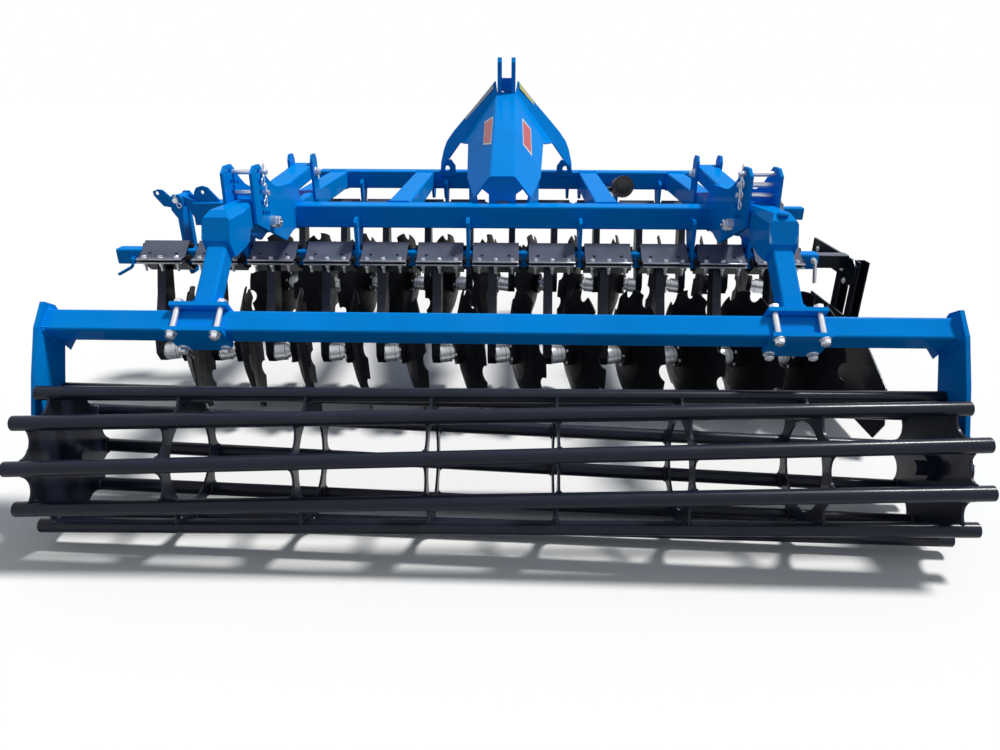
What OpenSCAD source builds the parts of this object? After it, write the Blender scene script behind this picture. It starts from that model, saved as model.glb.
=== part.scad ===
// Mounted compact disc harrow with two rows of single-arm discs and a tube cage roller.
// X to the right, Y forward (travel), Z up, ground at Z = 0. Millimetres.

/* [Draw] */
// Node to draw, or all

/* [Placing] */
// Roller axle behind the middle of the machine
roller_y = -1097; // [-1300:-1000]
// Rear disc row hubs ahead of the roller axle
rear_row_ahead = 912; // [850:1000]
// Front disc row ahead of the rear row
row_gap = 1100; // [900:1200]

/* [Cage roller] */
// Tubes around the cage
roller_tubes = 10; // [6:12]
// Tube outside diameter
roller_tube_d = 48.3; // [40:60]
// Tube centre circle radius at the ends
roller_r = 231.8; // [200:270]
// Cage length over the tubes
roller_len = 3000; // [2500:4000]
// Turn of each tube from end to end
roller_twist = 28.7; // [0:40]
// Turn of the left end's first tube above the level
roller_phase = 34.3; // [0:36]
// Inner ring plates
roller_rings = 6; // [4:8]
// Spacing of the inner ring plates
roller_ring_pitch = 412; // [300:600]
// Ring plate thickness
roller_ring_t = 8; // [6:12]
// Hole in each inner ring
roller_ring_hole_r = 150; // [100:180]
// End disc inside the tube ends
roller_disc_in = 52; // [30:100]
// Stub axle radius
roller_axle_r = 25; // [20:35]
// Running clearance of axles and spindles
run_gap = 0.05; // [0.02:0.01:0.1]
// Clearance between plain moving faces
move_gap = 6; // [5:10]

/* [Roller frame] */
// Square tube across the roller
bar_size = 80; // [70:120]
// Corner radius of the square tubes
tube_r = 9; // [4:12]
// Bar middle ahead of the roller axle
bar_ahead = 176; // [100:300]
// Bar middle height
bar_z = 665; // [500:800]
// Turn of the bar about its length
bar_turn = 40.5; // [0:45]
// Clamp plate thickness
clamp_t = 15; // [10:20]
// Clamp plate width along the bar
clamp_w = 194; // [160:240]
// Clamp plate depth across the bar
clamp_h = 140; // [130:180]
// Clamp bolt spacing along the bar
clamp_pitch = 146; // [120:180]
// Free gap between a clamp bolt and the bar
clamp_bolt_gap = 2; // [1:6]
// Clamp bolt radius
clamp_bolt_r = 10; // [8:12]
// Side plate thickness
end_plate_t = 15; // [8:20]
// Side plate inner face from the middle
end_plate_x = 1506; // [1400:1600]

/* [Roller arms] */
// Arm middle from the machine's middle
arm_x = 990; // [800:1200]
// Upper box width at its rear
arm_box_w = 98; // [80:120]
// Gap each side of the upper box between the hole plates
arm_side_gap = 5; // [5:8]
// Lower square tube
arm_tube = 71; // [60:90]
// Lower square tube's length above the clamp
arm_tube_len = 300; // [250:330]
// Pivot ahead of the roller axle
pivot_ahead = 800; // [700:900]
// Pivot height
pivot_z = 889; // [800:950]
// Pivot bolt radius
pivot_r = 15; // [10:20]
// Kink of the arm ahead of the roller axle
kink_ahead = 455; // [350:600]
// Side gusset of the lower tube, height above the clamp
arm_gusset = 75; // [50:100]

/* [Hole plates] */
// Hole plate thickness
hole_plate_t = 12; // [8:16]
// Free width between a pair of plates
hole_plate_gap = 98; // [90:130]
// Adjusting hole radius
adjust_hole_r = 11; // [8:13]
// Depth pin radius
depth_pin_r = 10; // [7:12]
// First adjusting hole ahead of the roller axle
adjust_ahead = 720; // [700:740]
// First adjusting hole height
adjust_z = 1098; // [1080:1104]
// Step between the rows of adjusting holes
adjust_row = 40; // [36:42]
// Step between the columns of adjusting holes
adjust_column = 32; // [28:36]
// Drop of each next column
adjust_drop = 6; // [0:10]
// Rows of adjusting holes
adjust_rows = 5; // [3:5]
// Columns of adjusting holes
adjust_columns = 3; // [2:3]
// Upper beam height
upper_h = 68; // [60:80]
// Upper beam slope
upper_slope = 4.1; // [0:6]
// Upper beam middle height at its rear end
upper_z = 955; // [945:970]
// Upper beam rear end ahead of the roller axle
upper_rear_ahead = 1000; // [980:1060]
// Upper beam length
upper_len = 545; // [480:600]
// Upper beam pin radius
upper_pin_r = 12; // [10:15]

/* [Main frame] */
// Main frame tube size
frame_tube = 100; // [80:120]
// Frame tube middle height
frame_z = 847; // [800:900]
// Rear crossbeam middle ahead of the roller axle
rear_beam_ahead = 1170; // [1100:1250]
// Inner lengthwise beams from the middle
inner_long_x = 480; // [400:550]
// Stub past the middle of the hanger that it carries
stub_past = 16; // [10:40]
// Lengthwise beams below and above the crossbeams' faces
long_step = 2; // [1:5]
// Width of the inner lengthwise beams
inner_long_w = 104; // [80:120]
// Front crossbeam end from the middle
front_beam_half = 1110; // [1060:1200]

/* [Disc beams] */
// Disc beam tube size
disc_beam = 70; // [65:80]
// Disc beam wall
disc_beam_wall = 5; // [4:6]
// Disc beam middle ahead of the disc hubs
disc_beam_ahead = 188; // [150:250]
// Disc beam middle height
disc_beam_z = 670; // [650:690]
// Long end of a disc beam from the middle
disc_beam_long = 1755; // [1700:1800]
// Short end of a disc beam from the middle
disc_beam_short = 1414; // [1395:1450]
// Hanger plate thickness
hanger_t = 15; // [10:18]

/* [Discs] */
// Discs in a row
discs_per_row = 12; // [8:16]
// Disc spacing in a row
disc_pitch = 250; // [200:300]
// Disc radius
disc_r = 280; // [250:330]
// Disc dish depth
disc_dish = 60; // [40:80]
// Disc thickness
disc_t = 6; // [4:8]
// Notches in a disc
disc_notches = 10; // [8:14]
// Notch radius
notch_r = 40; // [25:50]
// Disc angle to the travel line
disc_angle = 16; // [10:25]
// Disc lean
disc_lean = 2; // [0:15]
// Hub middle to disc middle
hub_to_disc = 62; // [50:90]
// Hub radius
hub_r = 42; // [35:50]
// Arm width
disc_arm_w = 38; // [30:50]
// Arm middle beside the hub middle
disc_arm_off = 39; // [30:60]

/* [Saddles] */
// Saddle width
saddle_w = 205; // [150:230]
// Saddle plate thickness
saddle_t = 8; // [5:10]
// Inner ridge of a saddle from the beam middle
saddle_inside = 59; // [57:64]
// Inner knee of a saddle from the beam middle
saddle_knee = 75; // [74:80]
// Inner face of a saddle flange from the beam middle
saddle_flange = 4; // [3:6]
// Saddle flange reach from the beam middle
saddle_reach = 112; // [100:130]
// Saddle middle beside its disc's place
saddle_off = 25; // [0:40]
// Cushion radius above and below the beam
cushion_r = 10; // [8:0.5:10.5]
// Cushion radius behind and ahead of the beam
cushion_side_r = 16.4; // [14:0.2:16.6]
// Gap between a cushion and the beam
cushion_gap = 0.4; // [0.2:0.1:0.8]
// Cushion end past the saddle
cushion_past = 12; // [0:14]

/* [Headstock] */
// Sheet thickness
sheet_t = 8; // [6:12]
// Width of the flat ridge
ridge_w = 112; // [90:140]
// Lean of the side panels
side_lean = 50.5; // [48:54]
// Ridge rear end ahead of the rear crossbeam's middle
ridge_past_rear = 36; // [30:40]
// Ridge front end behind the front crossbeam's middle
ridge_before_front = 53; // [50:60]
// Ridge height at the rear
ridge_rear_z = 1015; // [1000:1030]
// Ridge height at the front
ridge_front_z = 1332; // [1320:1345]
// Lip from the middle at the rear
lip_out = 121; // [110:130]
// Turn of the lip away from the middle
lip_turn = 8.9; // [5:12]
// Top link hole height
top_link_z = 1450; // [1400:1550]
// Top link hole behind the front crossbeam's middle
top_link_behind = 28; // [20:40]
// Top link hole radius
top_link_r = 12.75; // [12:16]
// Gap between the top link ears
ear_gap = 54; // [50:60]
// Ear thickness
ear_t = 23; // [15:25]
// Lower link pin spacing from the middle
lower_pin_x = 412; // [400:480]
// Lower link pin height
lower_pin_z = 765; // [600:800]
// Lower link pin hole radius
lower_pin_r = 14.4; // [14:0.1:18.8]

/* [Side shield] */
// Gap between the shield's bar and the inside of the disc beam
slide_gap = 0.6; // [0.4:0.1:0.9]
// Bar length inside the disc beam
shield_in = 260; // [220:300]
// Shield bracket from the middle
shield_x = 1548; // [1540:1600]
// Shield bracket thickness
shield_bracket_t = 10; // [8:14]
// Shield plate and post thickness
shield_t = 6; // [4:8]
// Width of a post
post_w = 44; // [30:60]
// Depth of a post along the travel line
post_d = 50; // [40:80]
// Clamp screw from the middle
clamp_screw_x = 1388; // [1360:1392]

/* [Side arm] */
// Swing pin from the middle
side_pin_x = 1549; // [1530:1600]
// Swing pin height
side_pin_z = 884; // [850:950]
// Swing pin radius
side_pin_r = 12; // [10:16]
// Gap between the rear saddles and the side arm
side_beam_gap = 84; // [30:120]
// Half width of the side arm
side_arm_half = 64; // [60:80]
// Side arm foot below its pin
side_leg = 364; // [300:420]
// Leg plate thickness
side_leg_t = 14; // [10:20]
// Carrying beam end from the middle
side_beam_end = 1480; // [1470:1500]
// Carrying beam middle height
side_beam_z = 817; // [800:830]
// Carrying beam height
side_beam_h = 110; // [90:120]

/* [Hidden] */
$fn = 32;
bar_y = roller_y + bar_ahead;
roller_z = roller_r + roller_tube_d / 2;
pivot_y = roller_y + pivot_ahead;
kink_y = roller_y + kink_ahead;
rear_hub_y = roller_y + rear_row_ahead;
front_hub_y = rear_hub_y + row_gap;
hub_z = disc_r * cos(disc_lean) - (hub_to_disc + disc_dish) * sin(disc_lean);
rear_beam_y = roller_y + rear_beam_ahead;
front_beam_y = rear_beam_y + row_gap;
half_tube = frame_tube / 2;
half_gap = hole_plate_gap / 2;
out_x = arm_x + half_gap + hole_plate_t;
frame_top = frame_z + half_tube;
saddle_run = norm([saddle_knee, saddle_inside - saddle_flange]);
saddle_ridge = saddle_inside + saddle_t * saddle_run / saddle_knee;
saddle_fall = (saddle_inside - saddle_flange) / saddle_knee;
shield_bar = disc_beam - 2 * disc_beam_wall - 2 * slide_gap;
rear_beam_mid_y = rear_hub_y + disc_beam_ahead;
front_beam_mid_y = front_hub_y + disc_beam_ahead;
side_beam_y = rear_beam_mid_y + saddle_reach + side_beam_gap + side_arm_half;
top_link_y = front_beam_y - top_link_behind;
disc_rs = (disc_r * disc_r + disc_dish * disc_dish) / (2 * disc_dish);
over = 1;

// A plate lying in the YZ plane, from x towards +X
module plate_yz(x, t, pts) {
    translate([x, 0, 0]) rotate([90, 0, 90]) linear_extrude(t) polygon(pts);
}

// A plate lying in the XZ plane, from y towards +Y
module plate_xz(y, t, pts) {
    translate([0, y + t, 0]) rotate([90, 0, 0]) linear_extrude(t) polygon(pts);
}

// A round bar along X from x0 to x1
module rod_x(x0, x1, y, z, r) {
    translate([x0, y, z]) rotate([0, 90, 0]) cylinder(r = r, h = x1 - x0);
}

// A box from its low corner to its high corner
module box(lo, hi) {
    translate(lo) cube(hi - lo);
}

// The outline of a square tube, its middle at the origin
module rounded(w, h, r) {
    square([w - 2 * r, h], center = true);
    square([w, h - 2 * r], center = true);
    for (x = [-1, 1], y = [-1, 1]) translate([x * (w / 2 - r), y * (h / 2 - r)]) circle(r = r);
}

// A square tube along X from x0 to x1, its middle at y and z
module tube_x(x0, x1, y, z, w, h, r) {
    translate([x0, y, z]) rotate([90, 0, 90]) linear_extrude(x1 - x0) rounded(w, h, r);
}

// A square tube along Y from y0 to y1, its middle at x and z
module tube_y(x, y0, y1, z, w, h, r) {
    translate([x, y1, z]) rotate([90, 0, 0]) linear_extrude(y1 - y0) rounded(w, h, r);
}

// Both sides of the machine
module both_sides() {
    children();
    mirror([1, 0, 0]) children();
}

// Main frame

module main_frame() {
    in_x = arm_x - half_gap - hole_plate_t;
    ry = rear_beam_y;
    long_h = frame_tube - 2 * long_step;
    color([0.02, 0.35, 0.85]) {
        // rear crossbeam between the hole plates
        tube_x(-in_x, in_x, ry, frame_z, frame_tube, frame_tube, tube_r);
        // front crossbeam
        tube_x(-front_beam_half, front_beam_half, front_beam_y, frame_z, frame_tube, frame_tube, tube_r);
        both_sides() {
            // inner lengthwise beam
            tube_y(inner_long_x, ry, front_beam_y, frame_z, inner_long_w, long_h, tube_r);
            // outer lengthwise beam, its rear end between the hole plates
            tube_y(arm_x, ry - half_tube, front_beam_y, frame_z, hole_plate_gap, long_h, tube_r);
        }
        // stubs that carry the outer hangers
        tube_x(out_x, gap_x(10, 1) + stub_past, ry, frame_z, frame_tube, frame_tube, tube_r);
        tube_x(gap_x(1, 1) - stub_past, -out_x, ry, frame_z, frame_tube, frame_tube, tube_r);
    }
}

// Carrying beam of the side arm with its ears, sleeve and lug

module side_pin_rod(r, half) {
    translate([-side_pin_x, side_beam_y + half, side_pin_z]) rotate([90, 0, 0]) cylinder(r = r, h = 2 * half);
}

module side_arm_beam() {
    top = side_beam_z + side_beam_h / 2;
    x = -side_beam_end;
    px = -side_pin_x;
    sleeve_half = side_arm_half - 18;
    color([0.02, 0.35, 0.85]) {
        tube_x(x, -arm_x - half_gap, side_beam_y, side_beam_z, frame_tube, side_beam_h, tube_r);
        difference() {
            union() {
                for (y = [side_beam_y - 44, side_beam_y + 32]) plate_xz(y, 12, [
                    [x + 20, top - 4], [x + 20, top + 4], [px + 6, side_pin_z + 23], [px - 16, side_pin_z + 17],
                    [px - 23, side_pin_z], [px - 16, side_pin_z - 17], [px, side_pin_z - 23],
                    [px + 45, side_pin_z - 34], [x - 2, side_beam_z - 20], [x + 20, side_beam_z - 20]
                ]);
                side_pin_rod(22, sleeve_half);
            }
            side_pin_rod(side_pin_r + run_gap, side_arm_half);
            tube_x(x, x + 40, side_beam_y, side_beam_z, frame_tube, side_beam_h, tube_r);
        }
        // lug with a hole for the locking pin
        difference() {
            plate_xz(side_beam_y - 30, 12, [
                [x + 4, top - 3], [x + 8, top + 44], [x + 22, top + 66], [x + 50, top + 74],
                [x + 76, top + 66], [x + 124, top + 8], [x + 124, top - 3]
            ]);
            translate([x + 48, side_beam_y, top + 44]) rotate([90, 0, 0]) cylinder(r = 9, h = 60);
        }
    }
}

// Hole plates with the upper beams

function hole_y(c) = roller_y + adjust_ahead + adjust_column * c;
function hole_z(r, c) = adjust_z - adjust_row * r - adjust_drop * c;

module hole_plate(x) {
    y0 = roller_y;
    zb = frame_z - half_tube;
    difference() {
        plate_yz(x, hole_plate_t, [
            [y0 + 640, pivot_z + 24],
            [y0 + 961, zb - 20],
            [y0 + 1060, zb],
            [rear_beam_y + half_tube, zb],
            [rear_beam_y + half_tube, frame_top],
            [y0 + 1206, frame_top + 44],
            [y0 + 1150, frame_top + 96],
            [y0 + 970, frame_top + 108],
            [y0 + 915, frame_top + 114],
            [y0 + 860, frame_top + 134],
            [y0 + 805, adjust_z - 30],
            [y0 + 772, adjust_z + 4],
            [y0 + 745, adjust_z + 24],
            [y0 + 690, adjust_z + 24],
            [y0 + 652, adjust_z],
            [y0 + 645, frame_top + 100]
        ]);
        for (r = [0 : adjust_rows - 1], c = [0 : adjust_columns - 1]) {
            rod_x(x - over, x + hole_plate_t + over, hole_y(c), hole_z(r, c), adjust_hole_r);
        }
        rod_x(x - over, x + hole_plate_t + over, pivot_y, pivot_z, pivot_r + run_gap);
    }
}

// The upper beam's frame, its rear end at the origin and its length along Y
module on_upper() {
    translate([arm_x, roller_y + upper_rear_ahead, upper_z]) rotate([upper_slope, 0, 0]) children();
}

module upper_pin(r, out) {
    x = half_gap + hole_plate_t + out;
    on_upper() rod_x(-x, x, upper_len - upper_h / 2, 0, r);
}

module hole_plates() {
    color([0.02, 0.35, 0.85]) both_sides() {
        hole_plate(arm_x - half_gap - hole_plate_t);
        hole_plate(arm_x + half_gap);
        // upper beam, held between the plates and pinned between the lugs
        difference() {
            on_upper() tube_y(0, 0, upper_len, 0, hole_plate_gap, upper_h, tube_r);
            upper_pin(upper_pin_r + run_gap, over);
        }
    }
}

module upper_beam_lugs() {
    color([0.02, 0.35, 0.85]) both_sides() difference() {
        for (x = [arm_x - half_gap - hole_plate_t, arm_x + half_gap]) plate_yz(x, hole_plate_t, [
            [rear_beam_y + 300, frame_z + 10],
            [rear_beam_y + 385, frame_z + 10],
            [rear_beam_y + 385, frame_z + 200],
            [rear_beam_y + 366, frame_z + 226],
            [rear_beam_y + 320, frame_z + 226],
            [rear_beam_y + 300, frame_z + 200]
        ]);
        upper_pin(upper_pin_r + run_gap, over);
    }
}

// Each pin: side, row and column of its hole
depth_pin_places = [[-1, 0, 1], [-1, 2, 1], [1, 0, 0], [1, 1, 0], [1, 2, 0]];

module depth_pins() {
    out = half_gap + hole_plate_t;
    color([0.75, 0.76, 0.78]) for (p = depth_pin_places) mirror([p[0] < 0 ? 1 : 0, 0, 0]) {
        rod_x(arm_x - out - 24, arm_x + out + 8, hole_y(p[2]), hole_z(p[1], p[2]), depth_pin_r);
    }
}

module pivot_bolts() {
    color([0.75, 0.76, 0.78]) both_sides() {
        out = half_gap + hole_plate_t;
        rod_x(arm_x - out - 16, arm_x + out + 16, pivot_y, pivot_z, pivot_r);
        rod_x(arm_x - out - 24, arm_x - out, pivot_y, pivot_z, pivot_r + 9);
        rod_x(arm_x + out, arm_x + out + 24, pivot_y, pivot_z, pivot_r + 9);
        upper_pin(upper_pin_r, 22);
    }
}

// Headstock of folded sheet

// A sheet through three or more points of one plane. Its first edge starts at a and
// rises by slope along Y, and the sheet leans by lean from the level, outward and down
module sheet(a, slope, lean, pts) {
    d = [0, cos(slope), sin(slope)];
    e = [cos(lean), sin(lean) * sin(slope), -sin(lean) * cos(slope)];
    translate(a) rotate([slope, 0, 0]) rotate([0, 0, 90]) rotate([180 + lean, 0, 0])
    linear_extrude(sheet_t) polygon([for (q = pts) [(q - a) * d, (q - a) * e]]);
}

module headstock() {
    ry = rear_beam_y;
    fy = front_beam_y;
    a = [ridge_w / 2, ry + ridge_past_rear, ridge_rear_z];
    b = [ridge_w / 2, fy - ridge_before_front, ridge_front_z];
    slope = atan((b[2] - a[2]) / (b[1] - a[1]));
    wing_y = fy - half_tube - sheet_t;
    foot = frame_top - 24;
    fold = 0.5;
    past = 4;
    color([0.02, 0.35, 0.85]) difference() {
        union() {
            // ridge, a little wider and longer than the panels' folds
            sheet(a, slope, 0, [
                a + [fold, -past, 0], b + [fold, 1, 0], b + [-ridge_w - fold, 1, 0], a + [-ridge_w - fold, -past, 0]
            ]);
            both_sides() {
                // side panel from the ridge to the lip and the cut-out
                sheet(a, slope, side_lean, [
                    a, b, [268, fy - 53, 1061], [228, fy - 195, 1070], [209, fy - 232, 1076],
                    [183, ry + 380, 961], [lip_out + 10, a[1], 921]
                ]);
                // lip that hangs between the crossbeams
                translate([lip_out, a[1], 0]) rotate([0, 0, -lip_turn]) plate_yz(-2, sheet_t, [
                    [0, frame_top], [0, 919], [348, 959], [348, 838], [40, 806], [22, 806], [22, frame_top]
                ]);
                // wing band with its foot, which stands against the front crossbeam
                plate_xz(wing_y, sheet_t, [
                    [48, 1328], [66, 1390], [155, 1284], [250, 1182], [305, 1122], [345, 1068], [364, 1022],
                    [382, 950], [388, foot], [296, foot], [296, 932], [324, 970], [352, 950], [270, 1050]
                ]);
            }
            // closing plate at the rear
            plate_xz(a[1] - 2, sheet_t, [
                [-27, frame_top], [-27, 906], [27, 906], [27, frame_top], [62, frame_top], [62, 936],
                [94, 960], [57, 1010], [-57, 1010], [-94, 960], [-62, 936], [-62, frame_top]
            ]);
        }
        both_sides() {
            ear_plate();
            translate([346, wing_y + 20, 916]) rotate([90, 0, 0]) cylinder(r = 15, h = 40);
        }
    }
}

module cap_plate() {
    x = ear_gap / 2;
    plate_xz(top_link_y - 10, 10, [[-x, 1338], [-x * 0.3, 1330], [x, 1330], [x, 1405], [-x, 1405]]);
}

module ear_plate() {
    plate_yz(ear_gap / 2, ear_t, [
        [top_link_y - 44, 1290],
        [front_beam_y - 40, frame_top],
        [front_beam_y + 40, frame_top],
        [top_link_y + 52, 1400],
        [top_link_y + 45, top_link_z + 34],
        [top_link_y + 24, top_link_z + 60],
        [top_link_y - 22, top_link_z + 60],
        [top_link_y - 44, top_link_z + 34]
    ]);
}

module top_link_ears() {
    color([0.02, 0.35, 0.85]) {
        cap_plate();
        both_sides() difference() {
            ear_plate();
            rod_x(ear_gap / 2 - over, ear_gap / 2 + ear_t + over, top_link_y, top_link_z, top_link_r);
        }
    }
}

module lower_hitch() {
    fy = front_beam_y + half_tube;
    color([0.02, 0.35, 0.85]) both_sides() {
        // one plate each side of a link ball
        for (x = [lower_pin_x - 44, lower_pin_x + 30]) difference() {
            plate_yz(x, 14, [
                [fy, frame_z - 47],
                [fy + 40, lower_pin_z - 46],
                [fy + 90, lower_pin_z - 50],
                [fy + 130, lower_pin_z - 20],
                [fy + 130, lower_pin_z + 40],
                [fy + 20, frame_z + 47],
                [fy, frame_z + 47]
            ]);
            rod_x(x - over, x + 14 + over, fy + 90, lower_pin_z, lower_pin_r);
        }
    }
}

// Disc beams

module disc_beam(y, x0, x1) {
    inside = disc_beam - 2 * disc_beam_wall;
    difference() {
        tube_x(x0, x1, y, disc_beam_z, disc_beam, disc_beam, tube_r + 1);
        tube_x(x0 - over, x1 + over, y, disc_beam_z, inside, inside, disc_beam_wall);
    }
}

module rear_disc_beam() {
    color([0.02, 0.35, 0.85]) disc_beam(rear_beam_mid_y, -disc_beam_long, disc_beam_short);
}

module front_disc_beam() {
    color([0.02, 0.35, 0.85]) disc_beam(front_beam_mid_y, -disc_beam_short, disc_beam_long);
}

// Hanger plates that carry a disc beam under a crossbeam, in the gaps between saddles
// Each gap is named by the disc before it
rear_hanger_gaps = [1, 3, 5, 7, 9, 10];
front_hanger_gaps = [2, 3, 5, 7, 9, 10];

module hangers(y, beam_y, side, gaps) {
    h = disc_beam / 2;
    fz = frame_z - half_tube;
    for (i = gaps) translate([gap_x(i, side), 0, 0]) difference() {
        plate_yz(-hanger_t / 2, hanger_t, [
            [y - h - 15, disc_beam_z - h + 6],
            [y - h - 8, disc_beam_z + h + 10],
            [y - h - 5, disc_beam_z + h + 40],
            [y - h - 5, frame_z - 14],
            [y - h + 11, frame_z + 2],
            [beam_y - half_tube, frame_z + 2],
            [beam_y - half_tube, fz],
            [beam_y + 30, fz],
            [y + h + 15, disc_beam_z + h + 10],
            [y + h + 15, disc_beam_z - h + 6]
        ]);
        box([-hanger_t, y - h, disc_beam_z - h], [hanger_t, y + h, disc_beam_z + h]);
    }
}

module rear_hangers() {
    color([0.02, 0.35, 0.85]) hangers(rear_beam_mid_y, rear_beam_y, 1, rear_hanger_gaps);
}

module front_hangers() {
    color([0.02, 0.35, 0.85]) hangers(front_beam_mid_y, front_beam_y, -1, front_hanger_gaps);
}

// Disc carriers: saddles, cushions, arms and hubs of a row, and one disc
// side is 1 for the rear row and -1 for the front row

function disc_x(i, side) = side * (-1500 + disc_pitch * i);

module row_places(side) {
    for (i = [0 : discs_per_row - 1]) {
        translate([disc_x(i, side), 0, 0]) children();
    }
}

// Middle of the gap after disc i
function gap_x(i, side) = disc_x(i, side) + side * (disc_pitch / 2 - saddle_off);

module saddle_pair(y, side) {
    x = -side * saddle_off - saddle_w / 2;
    f = saddle_flange;
    top = f + saddle_t;
    k = (saddle_ridge - top) / saddle_fall;
    for (up = [1, -1]) plate_yz(x, saddle_w, [for (p = [
        [-saddle_reach, f], [-saddle_knee, f], [0, saddle_inside], [saddle_knee, f], [saddle_reach, f],
        [saddle_reach, top], [k, top], [0, saddle_ridge], [-k, top], [-saddle_reach, top]
    ]) [y + p[0], disc_beam_z + up * p[1]]]);
}

module saddles(y, side) {
    row_places(side) saddle_pair(y, side);
}

module rear_saddles() {
    color([0.09, 0.09, 0.1]) saddles(rear_beam_mid_y, 1);
}

module front_saddles() {
    color([0.09, 0.09, 0.1]) saddles(front_beam_mid_y, -1);
}

module cushions(y, side) {
    h = disc_beam / 2 + cushion_gap;
    w = saddle_w + 2 * cushion_past;
    row_places(side) {
        x = -side * saddle_off - w / 2;
        for (s = [-1, 1]) {
            rod_x(x, x + w, y, disc_beam_z + s * (h + cushion_r), cushion_r);
            rod_x(x, x + w, y + s * (h + cushion_side_r), disc_beam_z, cushion_side_r);
        }
    }
}

module rear_cushions() {
    color([0.03, 0.03, 0.03]) cushions(rear_beam_mid_y, 1);
}

module front_cushions() {
    color([0.03, 0.03, 0.03]) cushions(front_beam_mid_y, -1);
}

// Underside of the lower saddle plate below the beam middle, d from the ridge
function saddle_low(d) = saddle_ridge - d * saddle_fall;

module disc_arm(y, beam_y, side) {
    plate_yz(-side * disc_arm_off - disc_arm_w / 2, disc_arm_w, [
        [beam_y - 68, disc_beam_z - saddle_low(68)],
        [beam_y - 8, disc_beam_z - saddle_low(8)],
        [beam_y - 40, hub_z + 200],
        [y + 62, hub_z + 40],
        [y + 30, hub_z - 36],
        [y - 20, hub_z - 42],
        [y - 44, hub_z],
        [y - 30, hub_z + 60],
        [beam_y - 118, hub_z + 250]
    ]);
}

module rear_disc_arms() {
    color([0.1, 0.1, 0.11]) row_places(1) disc_arm(rear_hub_y, rear_beam_mid_y, 1);
}

module front_disc_arms() {
    color([0.1, 0.1, 0.11]) row_places(-1) disc_arm(front_hub_y, front_beam_mid_y, -1);
}

// Local +Z runs from the hub to the disc
module on_hub(y, side) {
    translate([0, y, hub_z]) rotate([0, 90 - disc_lean, side > 0 ? disc_angle : 180 - disc_angle]) children();
}

module hub(y, side) {
    difference() {
        on_hub(y, side) {
            translate([0, 0, -38]) cylinder(r = hub_r, h = 34);
            translate([0, 0, -6]) cylinder(r = hub_r - 3, h = 6);
            translate([0, 0, -1]) cylinder(r = hub_r, h = 26);
            translate([0, 0, 24]) cylinder(r = hub_r - 8, h = 12);
            cylinder(r = 16, h = hub_to_disc + 16);
        }
        box([-side * disc_arm_off - (side > 0 ? 60 : disc_arm_w / 2), y - 80, hub_z - 80],
            [-side * disc_arm_off + (side > 0 ? disc_arm_w / 2 : 60), y + 80, hub_z + 80]);
    }
}

module rear_hubs() {
    color([0.72, 0.73, 0.75]) row_places(1) hub(rear_hub_y, 1);
}

module front_hubs() {
    color([0.72, 0.73, 0.75]) row_places(-1) hub(front_hub_y, -1);
}

function dish(r) = disc_rs - sqrt(disc_rs * disc_rs - r * r);

module disc(y, side, i) {
    steps = [58, 130, 200, disc_r];
    translate([disc_x(i, side), 0, 0]) on_hub(y, side) translate([0, 0, hub_to_disc]) {
        difference() {
            rotate_extrude() polygon(concat(
                [[16 + run_gap, -20]], [[58, -20]], [[58, dish(58)]],
                [for (k = [1 : 3]) [steps[k], dish(steps[k])]],
                [for (k = [3 : -1 : 0]) [steps[k], dish(steps[k]) + disc_t]],
                [[16 + run_gap, dish(58) + disc_t]]
            ));
            for (k = [0 : disc_notches - 1]) {
                rotate([0, 0, k * 360 / disc_notches + i * 11]) translate([disc_r + 6, 0, 30])
                cylinder(r = notch_r, h = 50);
            }
        }
    }
}

// Roller carrier

module on_bar() {
    translate([0, bar_y, bar_z]) rotate([bar_turn, 0, 0]) children();
}

// Upper box of an arm, seen from the side, from the rear and from above
module arm_box() {
    half = arm_box_w / 2;
    neck = half_gap - arm_side_gap;
    py = pivot_y;
    ky = kink_y;
    intersection() {
        plate_yz(-half, arm_box_w, [
            [py + 40, pivot_z - 30], [py + 46, pivot_z + 44], [py - 14, pivot_z + 96], [ky - 8, 1004],
            [ky - 43, 983], [ky - 70, 908], [ky - 40, 842], [ky + 35, 846], [ky + 123, 862],
            [ky + 147, 896], [ky + 200, 908], [py - 30, pivot_z - 39], [py, pivot_z - 44]
        ]);
        plate_xz(roller_y, py - roller_y + 60, [
            [-half, 700], [half, 700], [half, 974], [half - 22, 1006], [22 - half, 1006], [-half, 974]
        ]);
        linear_extrude(1100) polygon([
            [-half, ky - 90], [half, ky - 90], [half, ky + 90], [neck, ky + 170], [neck, py + 60],
            [-neck, py + 60], [-neck, ky + 170], [-half, ky + 90]
        ]);
    }
}

module roller_arms() {
    foot = bar_size / 2 + clamp_t;
    side = arm_tube / 2;
    color([0.02, 0.35, 0.85]) both_sides() {
        difference() {
            translate([arm_x, 0, 0]) arm_box();
            rod_x(arm_x - 60, arm_x + 60, pivot_y, pivot_z, pivot_r + run_gap);
        }
        on_bar() translate([arm_x, 0, 0]) {
            // lower square tube down to the clamp
            tube_y(0, foot, foot + arm_tube_len, 0, arm_tube, arm_tube, tube_r);
            // gussets beside it on the clamp
            for (s = [0, 1]) mirror([s, 0, 0]) translate([0, 0, -10]) linear_extrude(10) polygon([
                [side - 3, foot], [clamp_w / 2 - 4, foot], [clamp_w / 2 - 4, foot + 6], [side - 3, foot + arm_gusset]
            ]);
        }
    }
}

module clamp_places() {
    v = bar_size / 2 + clamp_bolt_r + clamp_bolt_gap;
    for (sx = [-1, 1], sz = [-1, 1]) {
        translate([arm_x + sx * clamp_pitch / 2, 0, sz * v]) rotate([-90, 0, 0]) children();
    }
}

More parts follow.
